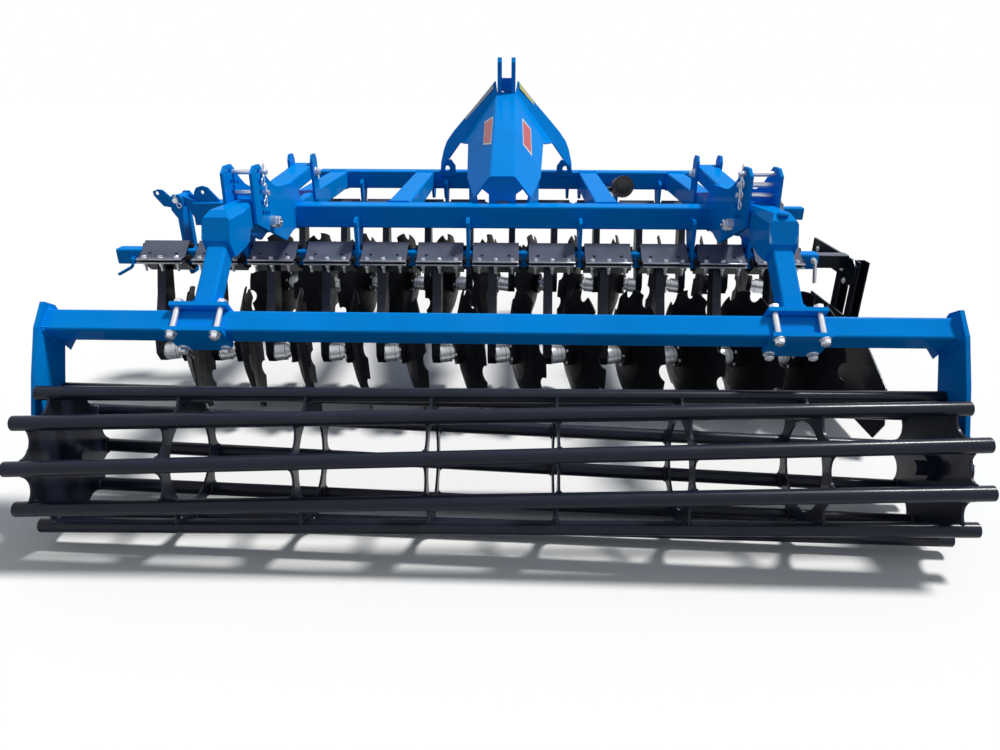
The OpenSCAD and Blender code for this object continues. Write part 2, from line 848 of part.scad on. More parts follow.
module bar_clamps() {
    h = bar_size / 2;
    w = clamp_w / 2;
    v = clamp_h / 2;
    c = 26;
    color([0.02, 0.35, 0.85]) both_sides() on_bar() difference() {
        union() {
            box([arm_x - w, h, -v], [arm_x + w, h + clamp_t, v]);
            translate([arm_x, 0, 0]) plate_xz(-h - clamp_t, clamp_t, [
                [-w, v], [-w, c - v], [c - w, -v], [w - c, -v], [w, c - v], [w, v]
            ]);
        }
        translate([0, -h - 60, 0]) clamp_places() cylinder(r = clamp_bolt_r + 1, h = 2 * h + 120);
    }
}

module clamp_bolts() {
    h = bar_size / 2 + clamp_t;
    color([0.75, 0.76, 0.78]) both_sides() on_bar() {
        translate([0, -h - 26, 0]) clamp_places() cylinder(r = clamp_bolt_r, h = 2 * h + 36);
        // washer and nut below, washer and head above
        translate([0, -h - 4, 0]) clamp_places() cylinder(r = 18, h = 4);
        translate([0, -h - 20, 0]) clamp_places() cylinder(r = 17, h = 16.5, $fn = 6);
        translate([0, h, 0]) clamp_places() cylinder(r = 18, h = 4);
        translate([0, h + 3.5, 0]) clamp_places() cylinder(r = 13, h = 12);
    }
}

module end_plate() {
    y = roller_y;
    difference() {
        plate_yz(end_plate_x, end_plate_t, [
            [y - 95, 240], [y - 70, 180], [y, 152], [y + 70, 180], [y + 98, 260],
            [y + 158, 447], [y + 211, 575], [y + 236, 680], [y + 215, 722],
            [y + 166, 750], [y + 102, 682], [y + 30, 540], [y - 22, 417]
        ]);
        rod_x(end_plate_x - over, end_plate_x + end_plate_t + over, y, roller_z, roller_axle_r + run_gap);
    }
}

module roller_frame() {
    g = end_plate_x;
    h = bar_size / 2;
    color([0.02, 0.35, 0.85]) {
        on_bar() tube_x(-g - 4, g + 4, 0, 0, bar_size, bar_size, tube_r);
        both_sides() {
            end_plate();
            // corner gusset between the bar's underside and the end plate
            on_bar() plate_xz(tube_r + 2 - h, 10, [
                [g + 4, 3 - h], [g - 66, 3 - h], [g - 66, -h - 5], [g + 4, -h - 92]
            ]);
        }
    }
}

module roller_bearings() {
    x = end_plate_x + end_plate_t;
    color([0.1, 0.1, 0.11]) both_sides() difference() {
        rod_x(x, x + 30, roller_y, roller_z, 62);
        rod_x(x - over, x + 31, roller_y, roller_z, roller_axle_r + run_gap);
    }
}

// One straight tube laid at a slant between the two ends of the cage
module cage_tube(k) {
    a = roller_phase + k * 360 / roller_tubes;
    a0 = a - roller_twist / 2;
    a1 = a + roller_twist / 2;
    p0 = [-roller_len / 2, -roller_r * cos(a0), roller_r * sin(a0)];
    d = [-roller_len / 2, roller_r * cos(a1), -roller_r * sin(a1)] + p0;
    n = norm(d);
    translate(p0) rotate([0, acos(-d[2] / n), atan2(-d[1], -d[0])]) cylinder(r = roller_tube_d / 2, h = n);
}

module cage_plate(x, hole) {
    s = x / (roller_len / 2);
    rx = roller_r * (1 - 0.031 * (1 - s * s));
    turn = roller_phase + s * roller_twist / 2;
    translate([x - roller_ring_t / 2, 0, 0]) rotate([90, 0, 90]) linear_extrude(roller_ring_t) difference() {
        circle(r = rx);
        for (k = [0 : roller_tubes - 1]) {
            rotate(180 - turn - (k + 0.5) * 360 / roller_tubes) translate([rx + 22, 0]) circle(r = 52);
        }
        if (hole > 0) circle(r = hole);
    }
}

module roller() {
    x_disc = roller_len / 2 - roller_disc_in;
    color([0.05, 0.05, 0.055]) translate([0, roller_y, roller_z]) {
        for (k = [0 : roller_tubes - 1]) cage_tube(k);
        for (i = [0 : roller_rings - 1]) {
            cage_plate((i - (roller_rings - 1) / 2) * roller_ring_pitch, roller_ring_hole_r);
        }
        cage_plate(-x_disc, 0);
        cage_plate(x_disc, 0);
        both_sides() {
            rod_x(x_disc - 60, end_plate_x + end_plate_t + 26, 0, 0, roller_axle_r);
            rod_x(x_disc - 30, x_disc + 30, 0, 0, 42);
        }
    }
}

// Side shield on a bar that slides in the rear disc beam

// A post of channel section, its web ahead and its open side behind
module channel_post(y, z0, z1) {
    x = shield_x + shield_bracket_t;
    for (dx = [0, post_w - shield_t]) box([x + dx, y, z0], [x + dx + shield_t, y + post_d, z1]);
    box([x, y + post_d - shield_t, z0], [x + post_w, y + post_d, z1]);
}

module side_shield() {
    y = rear_beam_mid_y;
    z = disc_beam_z;
    top = z + 20;
    low = z - 70;
    edge = z - 233;
    color([0.07, 0.07, 0.075]) {
        tube_x(disc_beam_short - shield_in, shield_x + over, y, z, shield_bar, shield_bar, disc_beam_wall);
        // bracket along the travel line
        plate_yz(shield_x, shield_bracket_t, [
            [y + 369, top], [y - 70, top], [y - 110, top - 24], [y - 110, low], [y - 60, low - 30],
            [y + 40, low], [y + 369, low + 4]
        ]);
        // posts down to the plate
        channel_post(y - 118, edge - 100, top);
        channel_post(y + 30, edge - 100, low + 20);
        // shield plate, its rear edge raked back to the ground
        plate_yz(shield_x + shield_bracket_t - shield_t, shield_t, [
            [y + 300, edge], [y - 150, edge], [y - 320, edge - 37], [y - 555, edge - 147], [y - 600, 150],
            [y - 540, 60], [y + 240, 60], [y + 330, 150]
        ]);
    }
}

module shield_clamp() {
    y = rear_beam_mid_y - disc_beam / 2;
    z = disc_beam_z + 8;
    color([0.75, 0.76, 0.78]) {
        // screw with a collar against the beam
        translate([clamp_screw_x, y, z]) rotate([90, 0, 0]) cylinder(r = 8, h = 34);
        translate([clamp_screw_x, y, z]) rotate([90, 0, 0]) cylinder(r = 13, h = 12);
        // bent handle
        translate([clamp_screw_x, y - 28, z + 4]) rotate([0, 172, 0]) cylinder(r = 8, h = 100);
    }
}

// Folding side arm at the left end of its carrying beam

module side_arm() {
    px = -side_pin_x;
    z = side_pin_z;
    y = side_beam_y;
    h = side_arm_half;
    flange_t = 12;
    x0 = px - 5;
    color([0.02, 0.33, 0.8]) difference() {
        union() {
            // leg plate
            plate_yz(x0, side_leg_t, [
                [y - h, z - 38], [y - h, z - 300], [y - h + 24, z - side_leg], [y + h - 34, z - side_leg],
                [y + h, z - 240], [y + h, z - 38]
            ]);
            // fork plates about the sleeve
            for (f = [y - h, y + h - flange_t]) plate_xz(f, flange_t, [
                [x0, z - 84], [x0 + side_leg_t, z - 84], [px + 30, z - 20], [px + 31, z + 6], [px + 16, z + 26],
                [px - 12, z + 26], [px - 28, z + 8], [px - 30, z - 46], [px - 16, z - 69]
            ]);
            // ear that the lifted arm is locked by
            plate_xz(y - h, 10, [
                [px - 22, z + 13], [px - 57, z + 47], [px - 80, z + 50], [px - 103, z + 41], [px - 100, z + 20],
                [px - 63, z - 28], [px - 28, z - 34]
            ]);
        }
        side_pin_rod(side_pin_r + run_gap, h + 20);
        translate([px - 84, y, z + 32]) rotate([90, 0, 0]) cylinder(r = 9, h = 120);
    }
}

module side_arm_pin() {
    color([0.75, 0.76, 0.78]) side_pin_rod(side_pin_r, side_arm_half + 12);
}

module document_tube() {
    x = inner_long_x + inner_long_w / 2;
    y = rear_beam_y + 830;
    drop = 24;
    color([0.06, 0.06, 0.065]) {
        translate([x + 113, y + 100, frame_z - 18]) rotate([80, 0, 0]) {
            cylinder(r = 50, h = 200);
            translate([0, 0, 170]) cylinder(r = 57, h = 45);
        }
        box([x, y - 20, frame_z - drop], [x + 90, y + 20, frame_z - drop + 22]);
    }
}

// Drawing

main_frame();
hole_plates();
upper_beam_lugs();
headstock();
top_link_ears();
lower_hitch();
rear_disc_beam();
front_disc_beam();
rear_hangers();
front_hangers();
rear_saddles();
front_saddles();
rear_cushions();
front_cushions();
rear_disc_arms();
front_disc_arms();
rear_hubs();
front_hubs();
depth_pins();
pivot_bolts();
roller_arms();
roller_frame();
bar_clamps();
clamp_bolts();
roller_bearings();
roller();
disc(rear_hub_y, 1, 0);  // rear_disc_01
disc(rear_hub_y, 1, 1);  // rear_disc_02
disc(rear_hub_y, 1, 2);  // rear_disc_03
disc(rear_hub_y, 1, 3);  // rear_disc_04
disc(rear_hub_y, 1, 4);  // rear_disc_05
disc(rear_hub_y, 1, 5);  // rear_disc_06
disc(rear_hub_y, 1, 6);  // rear_disc_07
disc(rear_hub_y, 1, 7);  // rear_disc_08
disc(rear_hub_y, 1, 8);  // rear_disc_09
disc(rear_hub_y, 1, 9);  // rear_disc_10
disc(rear_hub_y, 1, 10);  // rear_disc_11
disc(rear_hub_y, 1, 11);  // rear_disc_12
disc(front_hub_y, -1, 0);  // front_disc_01
disc(front_hub_y, -1, 1);  // front_disc_02
disc(front_hub_y, -1, 2);  // front_disc_03
disc(front_hub_y, -1, 3);  // front_disc_04
disc(front_hub_y, -1, 4);  // front_disc_05
disc(front_hub_y, -1, 5);  // front_disc_06
disc(front_hub_y, -1, 6);  // front_disc_07
disc(front_hub_y, -1, 7);  // front_disc_08
disc(front_hub_y, -1, 8);  // front_disc_09
disc(front_hub_y, -1, 9);  // front_disc_10
disc(front_hub_y, -1, 10);  // front_disc_11
disc(front_hub_y, -1, 11);  // front_disc_12
side_shield();
shield_clamp();
side_arm_beam();
side_arm();
side_arm_pin();
document_tube();
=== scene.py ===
import math

import bmesh
import bpy
import numpy as np
from mathutils import Matrix, Vector


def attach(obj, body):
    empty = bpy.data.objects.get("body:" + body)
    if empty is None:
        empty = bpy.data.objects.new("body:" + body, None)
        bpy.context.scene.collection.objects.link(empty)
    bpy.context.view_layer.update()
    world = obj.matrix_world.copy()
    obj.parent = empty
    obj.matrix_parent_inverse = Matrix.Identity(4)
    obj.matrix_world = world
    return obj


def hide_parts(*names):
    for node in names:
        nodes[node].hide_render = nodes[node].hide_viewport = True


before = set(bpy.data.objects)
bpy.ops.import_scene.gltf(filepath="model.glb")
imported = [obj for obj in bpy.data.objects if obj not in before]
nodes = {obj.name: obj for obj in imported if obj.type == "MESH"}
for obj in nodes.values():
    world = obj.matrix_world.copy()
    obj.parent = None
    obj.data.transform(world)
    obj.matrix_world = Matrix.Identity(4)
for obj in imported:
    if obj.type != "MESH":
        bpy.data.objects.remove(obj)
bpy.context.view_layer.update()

# Camera and light
# The camera stands where the photograph was taken, behind and above the roller. A high soft sun from
# the front right is the key, and a pale dome fills. What is seen or mirrored of the dome is white.
scene = bpy.context.scene
scene.view_settings.view_transform = "Standard"
CAMERA_AT = (0.06781, -3.1214, 1.4764)
CAMERA_PITCH = math.radians(24.0)
CAMERA_YAW = math.radians(-1.37)
CAMERA_ROLL = math.radians(0.10)
FOCAL_PX = 698.62
FRAME_PX = 1000
SENSOR = 36.0
FARTHEST = 100.0
camera_data = bpy.data.cameras.new("camera")
camera_data.sensor_width = SENSOR
camera_data.lens = FOCAL_PX * SENSOR / FRAME_PX
camera_data.clip_end = FARTHEST
camera = bpy.data.objects.new("camera", camera_data)
scene.collection.objects.link(camera)
forward = Vector((
    math.sin(CAMERA_YAW) * math.cos(CAMERA_PITCH),
    math.cos(CAMERA_YAW) * math.cos(CAMERA_PITCH),
    -math.sin(CAMERA_PITCH),
))
right = forward.cross(Vector((0, 0, 1))).normalized()
up = right.cross(forward)
right, up = (
    right * math.cos(CAMERA_ROLL) + up * math.sin(CAMERA_ROLL),
    up * math.cos(CAMERA_ROLL) - right * math.sin(CAMERA_ROLL),
)
turn = Matrix((right, up, -forward)).transposed()
camera.matrix_world = Matrix.Translation(CAMERA_AT) @ turn.to_4x4()
scene.camera = camera

SUN_FROM = (0.46, 0.17, 0.87)
SUN_STRENGTH = 2.9
SUN_SPREAD = math.radians(9)
SUN_COLOUR = (1.0, 0.985, 0.96)
sun_data = bpy.data.lights.new("sun", "SUN")
sun_data.energy = SUN_STRENGTH
sun_data.angle = SUN_SPREAD
sun_data.color = SUN_COLOUR
sun = bpy.data.objects.new("sun", sun_data)
sun.rotation_euler = Vector(SUN_FROM).to_track_quat("Z", "Y").to_euler()
scene.collection.objects.link(sun)


def seen_or_mirrored(tree):
    """1 for what the camera sees directly, in a mirror or through glass, and 0 for its light on things."""
    rays = tree.nodes.new("ShaderNodeLightPath")
    total = rays.outputs["Is Camera Ray"]
    for other in ("Is Glossy Ray", "Is Transmission Ray"):
        add = tree.nodes.new("ShaderNodeMath")
        add.operation = "ADD"
        add.use_clamp = True
        tree.links.new(total, add.inputs[0])
        tree.links.new(rays.outputs[other], add.inputs[1])
        total = add.outputs[0]
    return total


DOME_LIGHT = 0.31
DOME_COLOUR = (0.86, 0.93, 1.0, 1)
WHITE = (1, 1, 1, 1)
world = bpy.data.worlds.new("world")
scene.world = world
world.use_nodes = True
tree = world.node_tree
tree.nodes.clear()
out = tree.nodes.new("ShaderNodeOutputWorld")
mix = tree.nodes.new("ShaderNodeMixShader")
sky = tree.nodes.new("ShaderNodeBackground")
sky.inputs["Color"].default_value = DOME_COLOUR
sky.inputs["Strength"].default_value = DOME_LIGHT
white = tree.nodes.new("ShaderNodeBackground")
white.inputs["Color"].default_value = WHITE
white.inputs["Strength"].default_value = 1.0
tree.links.new(seen_or_mirrored(tree), mix.inputs["Fac"])
tree.links.new(sky.outputs[0], mix.inputs[1])
tree.links.new(white.outputs[0], mix.inputs[2])
tree.links.new(mix.outputs[0], out.inputs["Surface"])

# Floor
# A plain pale sheet that takes the machine's shadow. What it throws back on the machine is that of
# the grey stone that such a machine stands on.
FLOOR_SIZE = 60.0
FLOOR_SEEN = (0.95, 0.95, 0.945, 1)
FLOOR_THROWN = (0.24, 0.24, 0.235, 1)
COLOUR_A, COLOUR_B, COLOUR_OUT = 6, 7, 2  # the colour sockets of a Mix node
floor_mesh = bpy.data.meshes.new("floor")
half = FLOOR_SIZE / 2
floor_mesh.from_pydata(
    [(-half, -half, 0), (half, -half, 0), (half, half, 0), (-half, half, 0)], [], [(0, 1, 2, 3)])
floor = bpy.data.objects.new("floor", floor_mesh)
scene.collection.objects.link(floor)
floor_paint = bpy.data.materials.new("floor")
floor_paint.use_nodes = True
tree = floor_paint.node_tree
shader = tree.nodes["Principled BSDF"]
tone = tree.nodes.new("ShaderNodeMix")
tone.data_type = "RGBA"
tone.inputs[COLOUR_A].default_value = FLOOR_THROWN
tone.inputs[COLOUR_B].default_value = FLOOR_SEEN
tree.links.new(seen_or_mirrored(tree), tone.inputs["Factor"])
tree.links.new(tone.outputs[COLOUR_OUT], shader.inputs["Base Color"])
shader.inputs["Roughness"].default_value = 1.0
shader.inputs["Specular IOR Level"].default_value = 0.0
floor_mesh.materials.append(floor_paint)


# Blue powder coat
# The frame, the headstock, the roller's arms and crossbar: one gloss powder coat over shot-blasted
# steel, with faint orange peel, a little dust in patches and pale dried drops.
CLOUD_SCALE = 2.2  # noise scales, in features for each metre
SETTLED_SCALE = 9.0
DROP_SCALE = 38.0
DUST_SCALE = 7.0
WEAR_SCALE = 16.0
PEEL_SCALE = 260.0
COAT_ROUGHNESS = 0.10
DARKER = 0.90  # shares of the paint's colour and roughness, at either end
LIGHTER = 1.08
SMOOTHER = 0.8
ROUGHER = 1.35
STEEP = 0.15  # upward part of a face's normal where dust starts to settle, and where it lies fully
LEVEL = 0.75


def noise(tree, scale, detail=4.0, rough=0.55):
    """Noise on the object's own coordinates, its Fac output."""
    place = tree.nodes.new("ShaderNodeTexCoord")
    made = tree.nodes.new("ShaderNodeTexNoise")
    made.inputs["Scale"].default_value = scale
    made.inputs["Detail"].default_value = detail
    made.inputs["Roughness"].default_value = rough
    tree.links.new(place.outputs["Object"], made.inputs["Vector"])
    return made.outputs["Fac"]


def spots(tree, scale):
    """Distance to the nearest of many scattered points, on the object's own coordinates."""
    place = tree.nodes.new("ShaderNodeTexCoord")
    made = tree.nodes.new("ShaderNodeTexVoronoi")
    made.inputs["Scale"].default_value = scale
    tree.links.new(place.outputs["Object"], made.inputs["Vector"])
    return made.outputs["Distance"]


def ramp(tree, source, low, high, lowest=0.0, highest=1.0):
    """Source between low and high, spread over lowest to highest and held there."""
    made = tree.nodes.new("ShaderNodeMapRange")
    made.inputs["From Min"].default_value = low
    made.inputs["From Max"].default_value = high
    made.inputs["To Min"].default_value = lowest
    made.inputs["To Max"].default_value = highest
    tree.links.new(source, made.inputs["Value"])
    return made.outputs["Result"]


def times(tree, first, second):
    """The product of two sockets."""
    made = tree.nodes.new("ShaderNodeMath")
    made.operation = "MULTIPLY"
    tree.links.new(first, made.inputs[0])
    tree.links.new(second, made.inputs[1])
    return made.outputs[0]


def blend_colour(tree, factor, first, second):
    """First and second colour mixed by factor. Either may be a socket or a colour."""
    made = tree.nodes.new("ShaderNodeMix")
    made.data_type = "RGBA"
    tree.links.new(factor, made.inputs["Factor"])
    for value, slot in ((first, made.inputs[COLOUR_A]), (second, made.inputs[COLOUR_B])):
        if isinstance(value, tuple):
            slot.default_value = value
        else:
            tree.links.new(value, slot)
    return made.outputs[COLOUR_OUT]


def bump(tree, height, strength, distance):
    """A bump node over height, its Normal output."""
    made = tree.nodes.new("ShaderNodeBump")
    made.inputs["Strength"].default_value = strength
    made.inputs["Distance"].default_value = distance
    tree.links.new(height, made.inputs["Height"])
    return made.outputs["Normal"]


def facing_up(tree):
    """1 on faces that look up, 0 on walls and undersides."""
    place = tree.nodes.new("ShaderNodeNewGeometry")
    parts = tree.nodes.new("ShaderNodeSeparateXYZ")
    tree.links.new(place.outputs["Normal"], parts.inputs[0])
    return ramp(tree, parts.outputs["Z"], STEEP, LEVEL)


def paint(name, colour, dust, roughness, dust_share, specular=0.5, metallic=0.0, peel=0.0006,
          drops=0.0, settled=0.0, coat=0.0):
    """A painted surface: two tones in clouds, dust in patches, drop marks, settled dust, peel as bump,
    and a thin clear coat that gives its crisp glints."""
    made = bpy.data.materials.new(name)
    made.use_nodes = True
    tree = made.node_tree
    shader = tree.nodes["Principled BSDF"]
    tone = ramp(tree, noise(tree, CLOUD_SCALE), 0.3, 0.7)
    dark = tuple(c * DARKER for c in colour) + (1.0,)
    light = tuple(min(1.0, c * LIGHTER) for c in colour) + (1.0,)
    grey = dust + (1.0,)
    base = blend_colour(tree, tone, dark, light)
    if settled:
        lying = ramp(tree, noise(tree, SETTLED_SCALE, 6.0), 0.25, 0.7, settled * 0.6, settled)
        base = blend_colour(tree, times(tree, facing_up(tree), lying), base, grey)
    if drops:
        marks = ramp(tree, spots(tree, DROP_SCALE), 0.05, 0.09, drops, 0.0)
        base = blend_colour(tree, marks, base, grey)
    dusty = ramp(tree, noise(tree, DUST_SCALE, 8.0, 0.7), 0.52, 0.80, 0.0, dust_share)
    tree.links.new(blend_colour(tree, dusty, base, grey), shader.inputs["Base Color"])
    smoothest, roughest = roughness * SMOOTHER, min(1.0, roughness * ROUGHER)
    wear = ramp(tree, noise(tree, WEAR_SCALE, 6.0), 0.3, 0.8, smoothest, roughest)
    tree.links.new(wear, shader.inputs["Roughness"])
    tree.links.new(bump(tree, noise(tree, PEEL_SCALE, 2.0), 0.25, peel), shader.inputs["Normal"])
    shader.inputs["Metallic"].default_value = metallic
    shader.inputs["Specular IOR Level"].default_value = specular
    shader.inputs["Coat Weight"].default_value = coat
    shader.inputs["Coat Roughness"].default_value = COAT_ROUGHNESS
    return made


def dress(material, *names):
    """Gives the material to CAD nodes."""
    for name in names:
        mesh = nodes[name].data
        mesh.materials.clear()
        mesh.materials.append(material)


blue = paint(
    "blue_paint", (0.0005, 0.265, 0.81), (0.20, 0.42, 0.66), 0.34, 0.04, specular=0.0, drops=0.06,
    coat=0.07)
dress(
    blue, "main_frame", "hole_plates", "upper_beam_lugs", "side_arm_beam", "headstock", "top_link_ears",
    "lower_hitch", "rear_disc_beam", "front_disc_beam", "rear_hangers", "front_hangers", "roller_arms",
    "roller_frame", "bar_clamps", "side_arm")

# Black saddles, disc arms and side shield
# Folded and cut steel plate in a thin satin black, greyed with road dust on what faces up. The saddles
# are bolted round their beam, and each carries a disc arm.
black = paint(
    "black_paint", (0.011, 0.013, 0.021), (0.17, 0.19, 0.265), 0.40, 0.08, specular=0.03, settled=0.85,
    coat=0.10)
dress(
    black, "rear_saddles", "front_saddles", "rear_disc_arms", "front_disc_arms", "roller_bearings",
    "side_shield")

# Cage roller
# Ten slanted steel tubes welded into ring plates and end discs, in gloss black paint, with yard dust
# along the tubes.
roller_black = paint(
    "roller_black", (0.011, 0.015, 0.032), (0.085, 0.098, 0.15), 0.34, 0.18, specular=0.14, peel=0.0003,
    coat=0.15)
dress(roller_black, "roller")

# Discs
# Notched and dished discs, pressed from steel, dark painted and dull with dust. Each turns on its own
# hub.
DISCS_IN_ROW = 12
disc_black = paint(
    "disc_steel", (0.009, 0.010, 0.013), (0.085, 0.082, 0.080), 0.42, 0.22, specular=0.06)
ROWS = ("rear", "front")
DISCS = [f"{row}_disc_{i:02d}" for row in ROWS for i in range(1, DISCS_IN_ROW + 1)]
dress(disc_black, *DISCS)

# Zinc hardware
# Hubs, pins and long bolts are steel with a bright zinc coat that has a cloudy grey bloom. The hubs
# are bolted on, and the pins are pushed in and held by clips.
zinc = paint(
    "zinc", (0.72, 0.74, 0.78), (0.40, 0.40, 0.41), 0.33, 0.30, metallic=0.7, peel=0.0002)
dress(zinc, "rear_hubs", "front_hubs", "depth_pins", "pivot_bolts", "shield_clamp", "side_arm_pin")

# Rubber cushions and the document tube
# Dull black rubber cords are squeezed in each saddle, between its shells and the beam. The document
# tube is moulded in black plastic, with a screw cap.
rubber = paint("rubber", (0.012, 0.012, 0.013), (0.07, 0.07, 0.07), 0.8, 0.3, specular=0.3)
dress(rubber, "rear_cushions", "front_cushions")
black_plastic = paint("black_plastic", (0.012, 0.012, 0.014), (0.10, 0.10, 0.10), 0.42, 0.15)
dress(black_plastic, "document_tube")

# Saddle bolts
# Each saddle pair is drawn together by three zinc bolts through each flange, with a washer and a nut
# below. Two small painted bolts on the rear slope hold the cushion's strip.
X, Y, Z = np.eye(3)
ROLLER_Y = -1.097
REAR_HUB_Y = ROLLER_Y + 0.912
ROW_GAP = 1.100
HUB_Y = {"rear": REAR_HUB_Y, "front": REAR_HUB_Y + ROW_GAP}
ROW_SIDE = {"rear": 1, "front": -1}
BEAM_AHEAD = 0.188
BEAM_Z = 0.670
FIRST_X = -1.500
PITCH = 0.250
SADDLE_OFF = 0.025
SADDLE_W = 0.205
FLANGE_TOP = 0.012
FLANGE_BOLT_X = 0.073
FLANGE_BOLT_Y = 0.095
WASHER_R = 0.0115
WASHER_T = 0.003
HEX_R = 0.0098
HEAD_H = 0.007
NUT_H = 0.010
HEAD_TURN = 20  # radians for each metre of the bolt's place along the saddle, so that no two stand alike
NUT_TURN = 31
SHANK = [(0, 0.006), (0.034, 0.006), (0.036, 0.005)]
SHARP = math.radians(32)


def finished(name, corners, faces, material, body):
    """An object from corners and quads: doubles merged, faces turned outward, smooth but at sharp folds."""
    mesh = bpy.data.meshes.new(name)
    mesh.from_pydata(corners, [], faces)
    shape = bmesh.new()
    shape.from_mesh(mesh)
    bmesh.ops.remove_doubles(shape, verts=shape.verts, dist=1e-6)
    bmesh.ops.recalc_face_normals(shape, faces=shape.faces)
    shape.to_mesh(mesh)
    shape.free()
    mesh.shade_smooth()
    mesh.set_sharp_from_angle(angle=SHARP)
    mesh.materials.append(material)
    piece = bpy.data.objects.new(name, mesh)
    scene.collection.objects.link(piece)
    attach(piece, body)
    return piece


def surface(name, grids, material, body):
    """One mesh from grids of points, each (rows, columns, 3) or (count, rows, columns, 3): neighbours
    become quads, the columns close into rings, and each end ring closes on its own middle."""
    corners = []
    faces = []
    start = 0
    for grid in grids:
        grid = grid.reshape(-1, *grid.shape[-3:])
        first = np.broadcast_to(grid[:, :1].mean(axis=2, keepdims=True), grid[:, :1].shape)
        last = np.broadcast_to(grid[:, -1:].mean(axis=2, keepdims=True), grid[:, :1].shape)
        grid = np.concatenate([first, grid, last], axis=1)
        index = start + np.arange(grid[..., 0].size).reshape(grid.shape[:3])
        beside = np.roll(index, -1, axis=2)
        quads = np.stack([index[:, :-1], beside[:, :-1], beside[:, 1:], index[:, 1:]], axis=-1)
        corners.append(grid.reshape(-1, 3))
        faces.append(quads.reshape(-1, 4))
        start += index.size
    return finished(name, np.concatenate(corners), np.concatenate(faces), material, body)


def turned(places, axis, profile, sides, start=0.0):
    """A turned shape at each place: a profile row (along, radius) makes a ring of points
    place + along * axis + radius * (cos a * across + sin a * other), a in equal steps."""
    places = np.atleast_2d(np.asarray(places, float))
    axis = np.asarray(axis, float)
    axis = axis / np.linalg.norm(axis)
    helper = X if abs(axis[0]) < 0.7 else Z
    across = np.cross(helper, axis)
    across = across / np.linalg.norm(across)
    other = np.cross(axis, across)
    angle = start + np.arange(sides) * 2 * np.pi / sides
    rim = np.cos(angle)[:, None] * across + np.sin(angle)[:, None] * other
    along, radius = np.array(profile, float).T
    rings = along[:, None, None] * axis + radius[:, None, None] * rim
    return places[:, None, None, :] + rings


def hexagons(places, axis, size, height, start=0.0):
    """Bolt heads or nuts: turned shapes of six sides, size out to their corners, upper corners cut."""
    return turned(places, axis, [(0, size), (height * 0.84, size), (height, size * 0.88)], 6, start)


def washers(places, axis, size, height, sides):
    """Washers of an outer radius and a height, with a small edge radius."""
    return turned(places, axis, [(0, size), (height * 0.7, size), (height, size * 0.94)], sides)


def saddle_middles(row):
    """The middle of each saddle of a row, in its beam: x is side * (first + pitch * i - offset)."""
    side = ROW_SIDE[row]
    x = side * (FIRST_X + PITCH * np.arange(DISCS_IN_ROW)) - side * SADDLE_OFF
    y = np.full(DISCS_IN_ROW, HUB_Y[row] + BEAM_AHEAD)
    return np.stack([x, y, np.full(DISCS_IN_ROW, BEAM_Z)], axis=1)


for row in ROWS:
    middles = saddle_middles(row)
    grids = []
    for dy in (-FLANGE_BOLT_Y, FLANGE_BOLT_Y):
        for dx in (-FLANGE_BOLT_X, 0.0, FLANGE_BOLT_X):
            top = middles + (dx, dy, FLANGE_TOP)
            foot = middles + (dx, dy, -FLANGE_TOP)
            grids.append(washers(top, Z, WASHER_R, WASHER_T, 14))
            grids.append(hexagons(top + WASHER_T * Z, Z, HEX_R, HEAD_H, dx * HEAD_TURN))
            grids.append(washers(foot, -Z, WASHER_R, WASHER_T, 14))
            grids.append(hexagons(foot - WASHER_T * Z, -Z, HEX_R, NUT_H, dx * NUT_TURN))
            grids.append(turned(foot, -Z, SHANK, 10))
    surface(f"{row}_saddle_bolts", grids, zinc, "frame")

SLOPE_RUN = 0.075
SLOPE_FALL = 0.055
SLOPE = math.atan2(SLOPE_FALL, SLOPE_RUN)
SLOPE_OUT = (0, -math.sin(SLOPE), math.cos(SLOPE))
RIDGE_OUT = 0.0689
SLOPE_BOLT_X = 0.060
SLOPE_BOLT_Y = 0.058
SLOPE_WASHER_R = 0.008
SLOPE_WASHER_T = 0.002
SLOPE_BOLT = [(SLOPE_WASHER_T, 0.0058), (0.004, 0.0052), (0.0055, 0.0035)]
grids = []
for dx in (-SLOPE_BOLT_X, SLOPE_BOLT_X):
    place = saddle_middles("rear") + (dx, -SLOPE_BOLT_Y, RIDGE_OUT - SLOPE_BOLT_Y * math.tan(SLOPE))
    grids.append(washers(place, SLOPE_OUT, SLOPE_WASHER_R, SLOPE_WASHER_T, 12))
    grids.append(turned(place, SLOPE_OUT, SLOPE_BOLT, 10))
surface("slope_bolts", grids, black, "frame")

# Rolled flange edges
# The flanges of the saddles are folded from plate. Their edges are rolled round and coloured bright
# grey steel: a painted highlight that stands for the sun's glint along the rounded edges.
# Painted highlight: a bright metallic grey on the rounded flange edges stands for the sun's glint there.
edge_highlight_paint = paint(
    "painted_edge_highlight", (0.34, 0.35, 0.39), (0.16, 0.16, 0.18), 0.26, 0.25, specular=0.5, metallic=0.55)
EDGE_Y = 0.112
EDGE_Z = 0.008
EDGE_R = 0.0042
END_R = EDGE_R * 0.7
END_ROUND = 0.002
EDGE = [(0, END_R), (END_ROUND, EDGE_R), (SADDLE_W - END_ROUND, EDGE_R), (SADDLE_W, END_R)]
grids = [
    turned(saddle_middles(row) + (-SADDLE_W / 2, dy, dz), X, EDGE, 12)
    for row in ROWS for dy in (-EDGE_Y, EDGE_Y) for dz in (EDGE_Z, -EDGE_Z)]
surface("rolled_edges", grids, edge_highlight_paint, "frame")

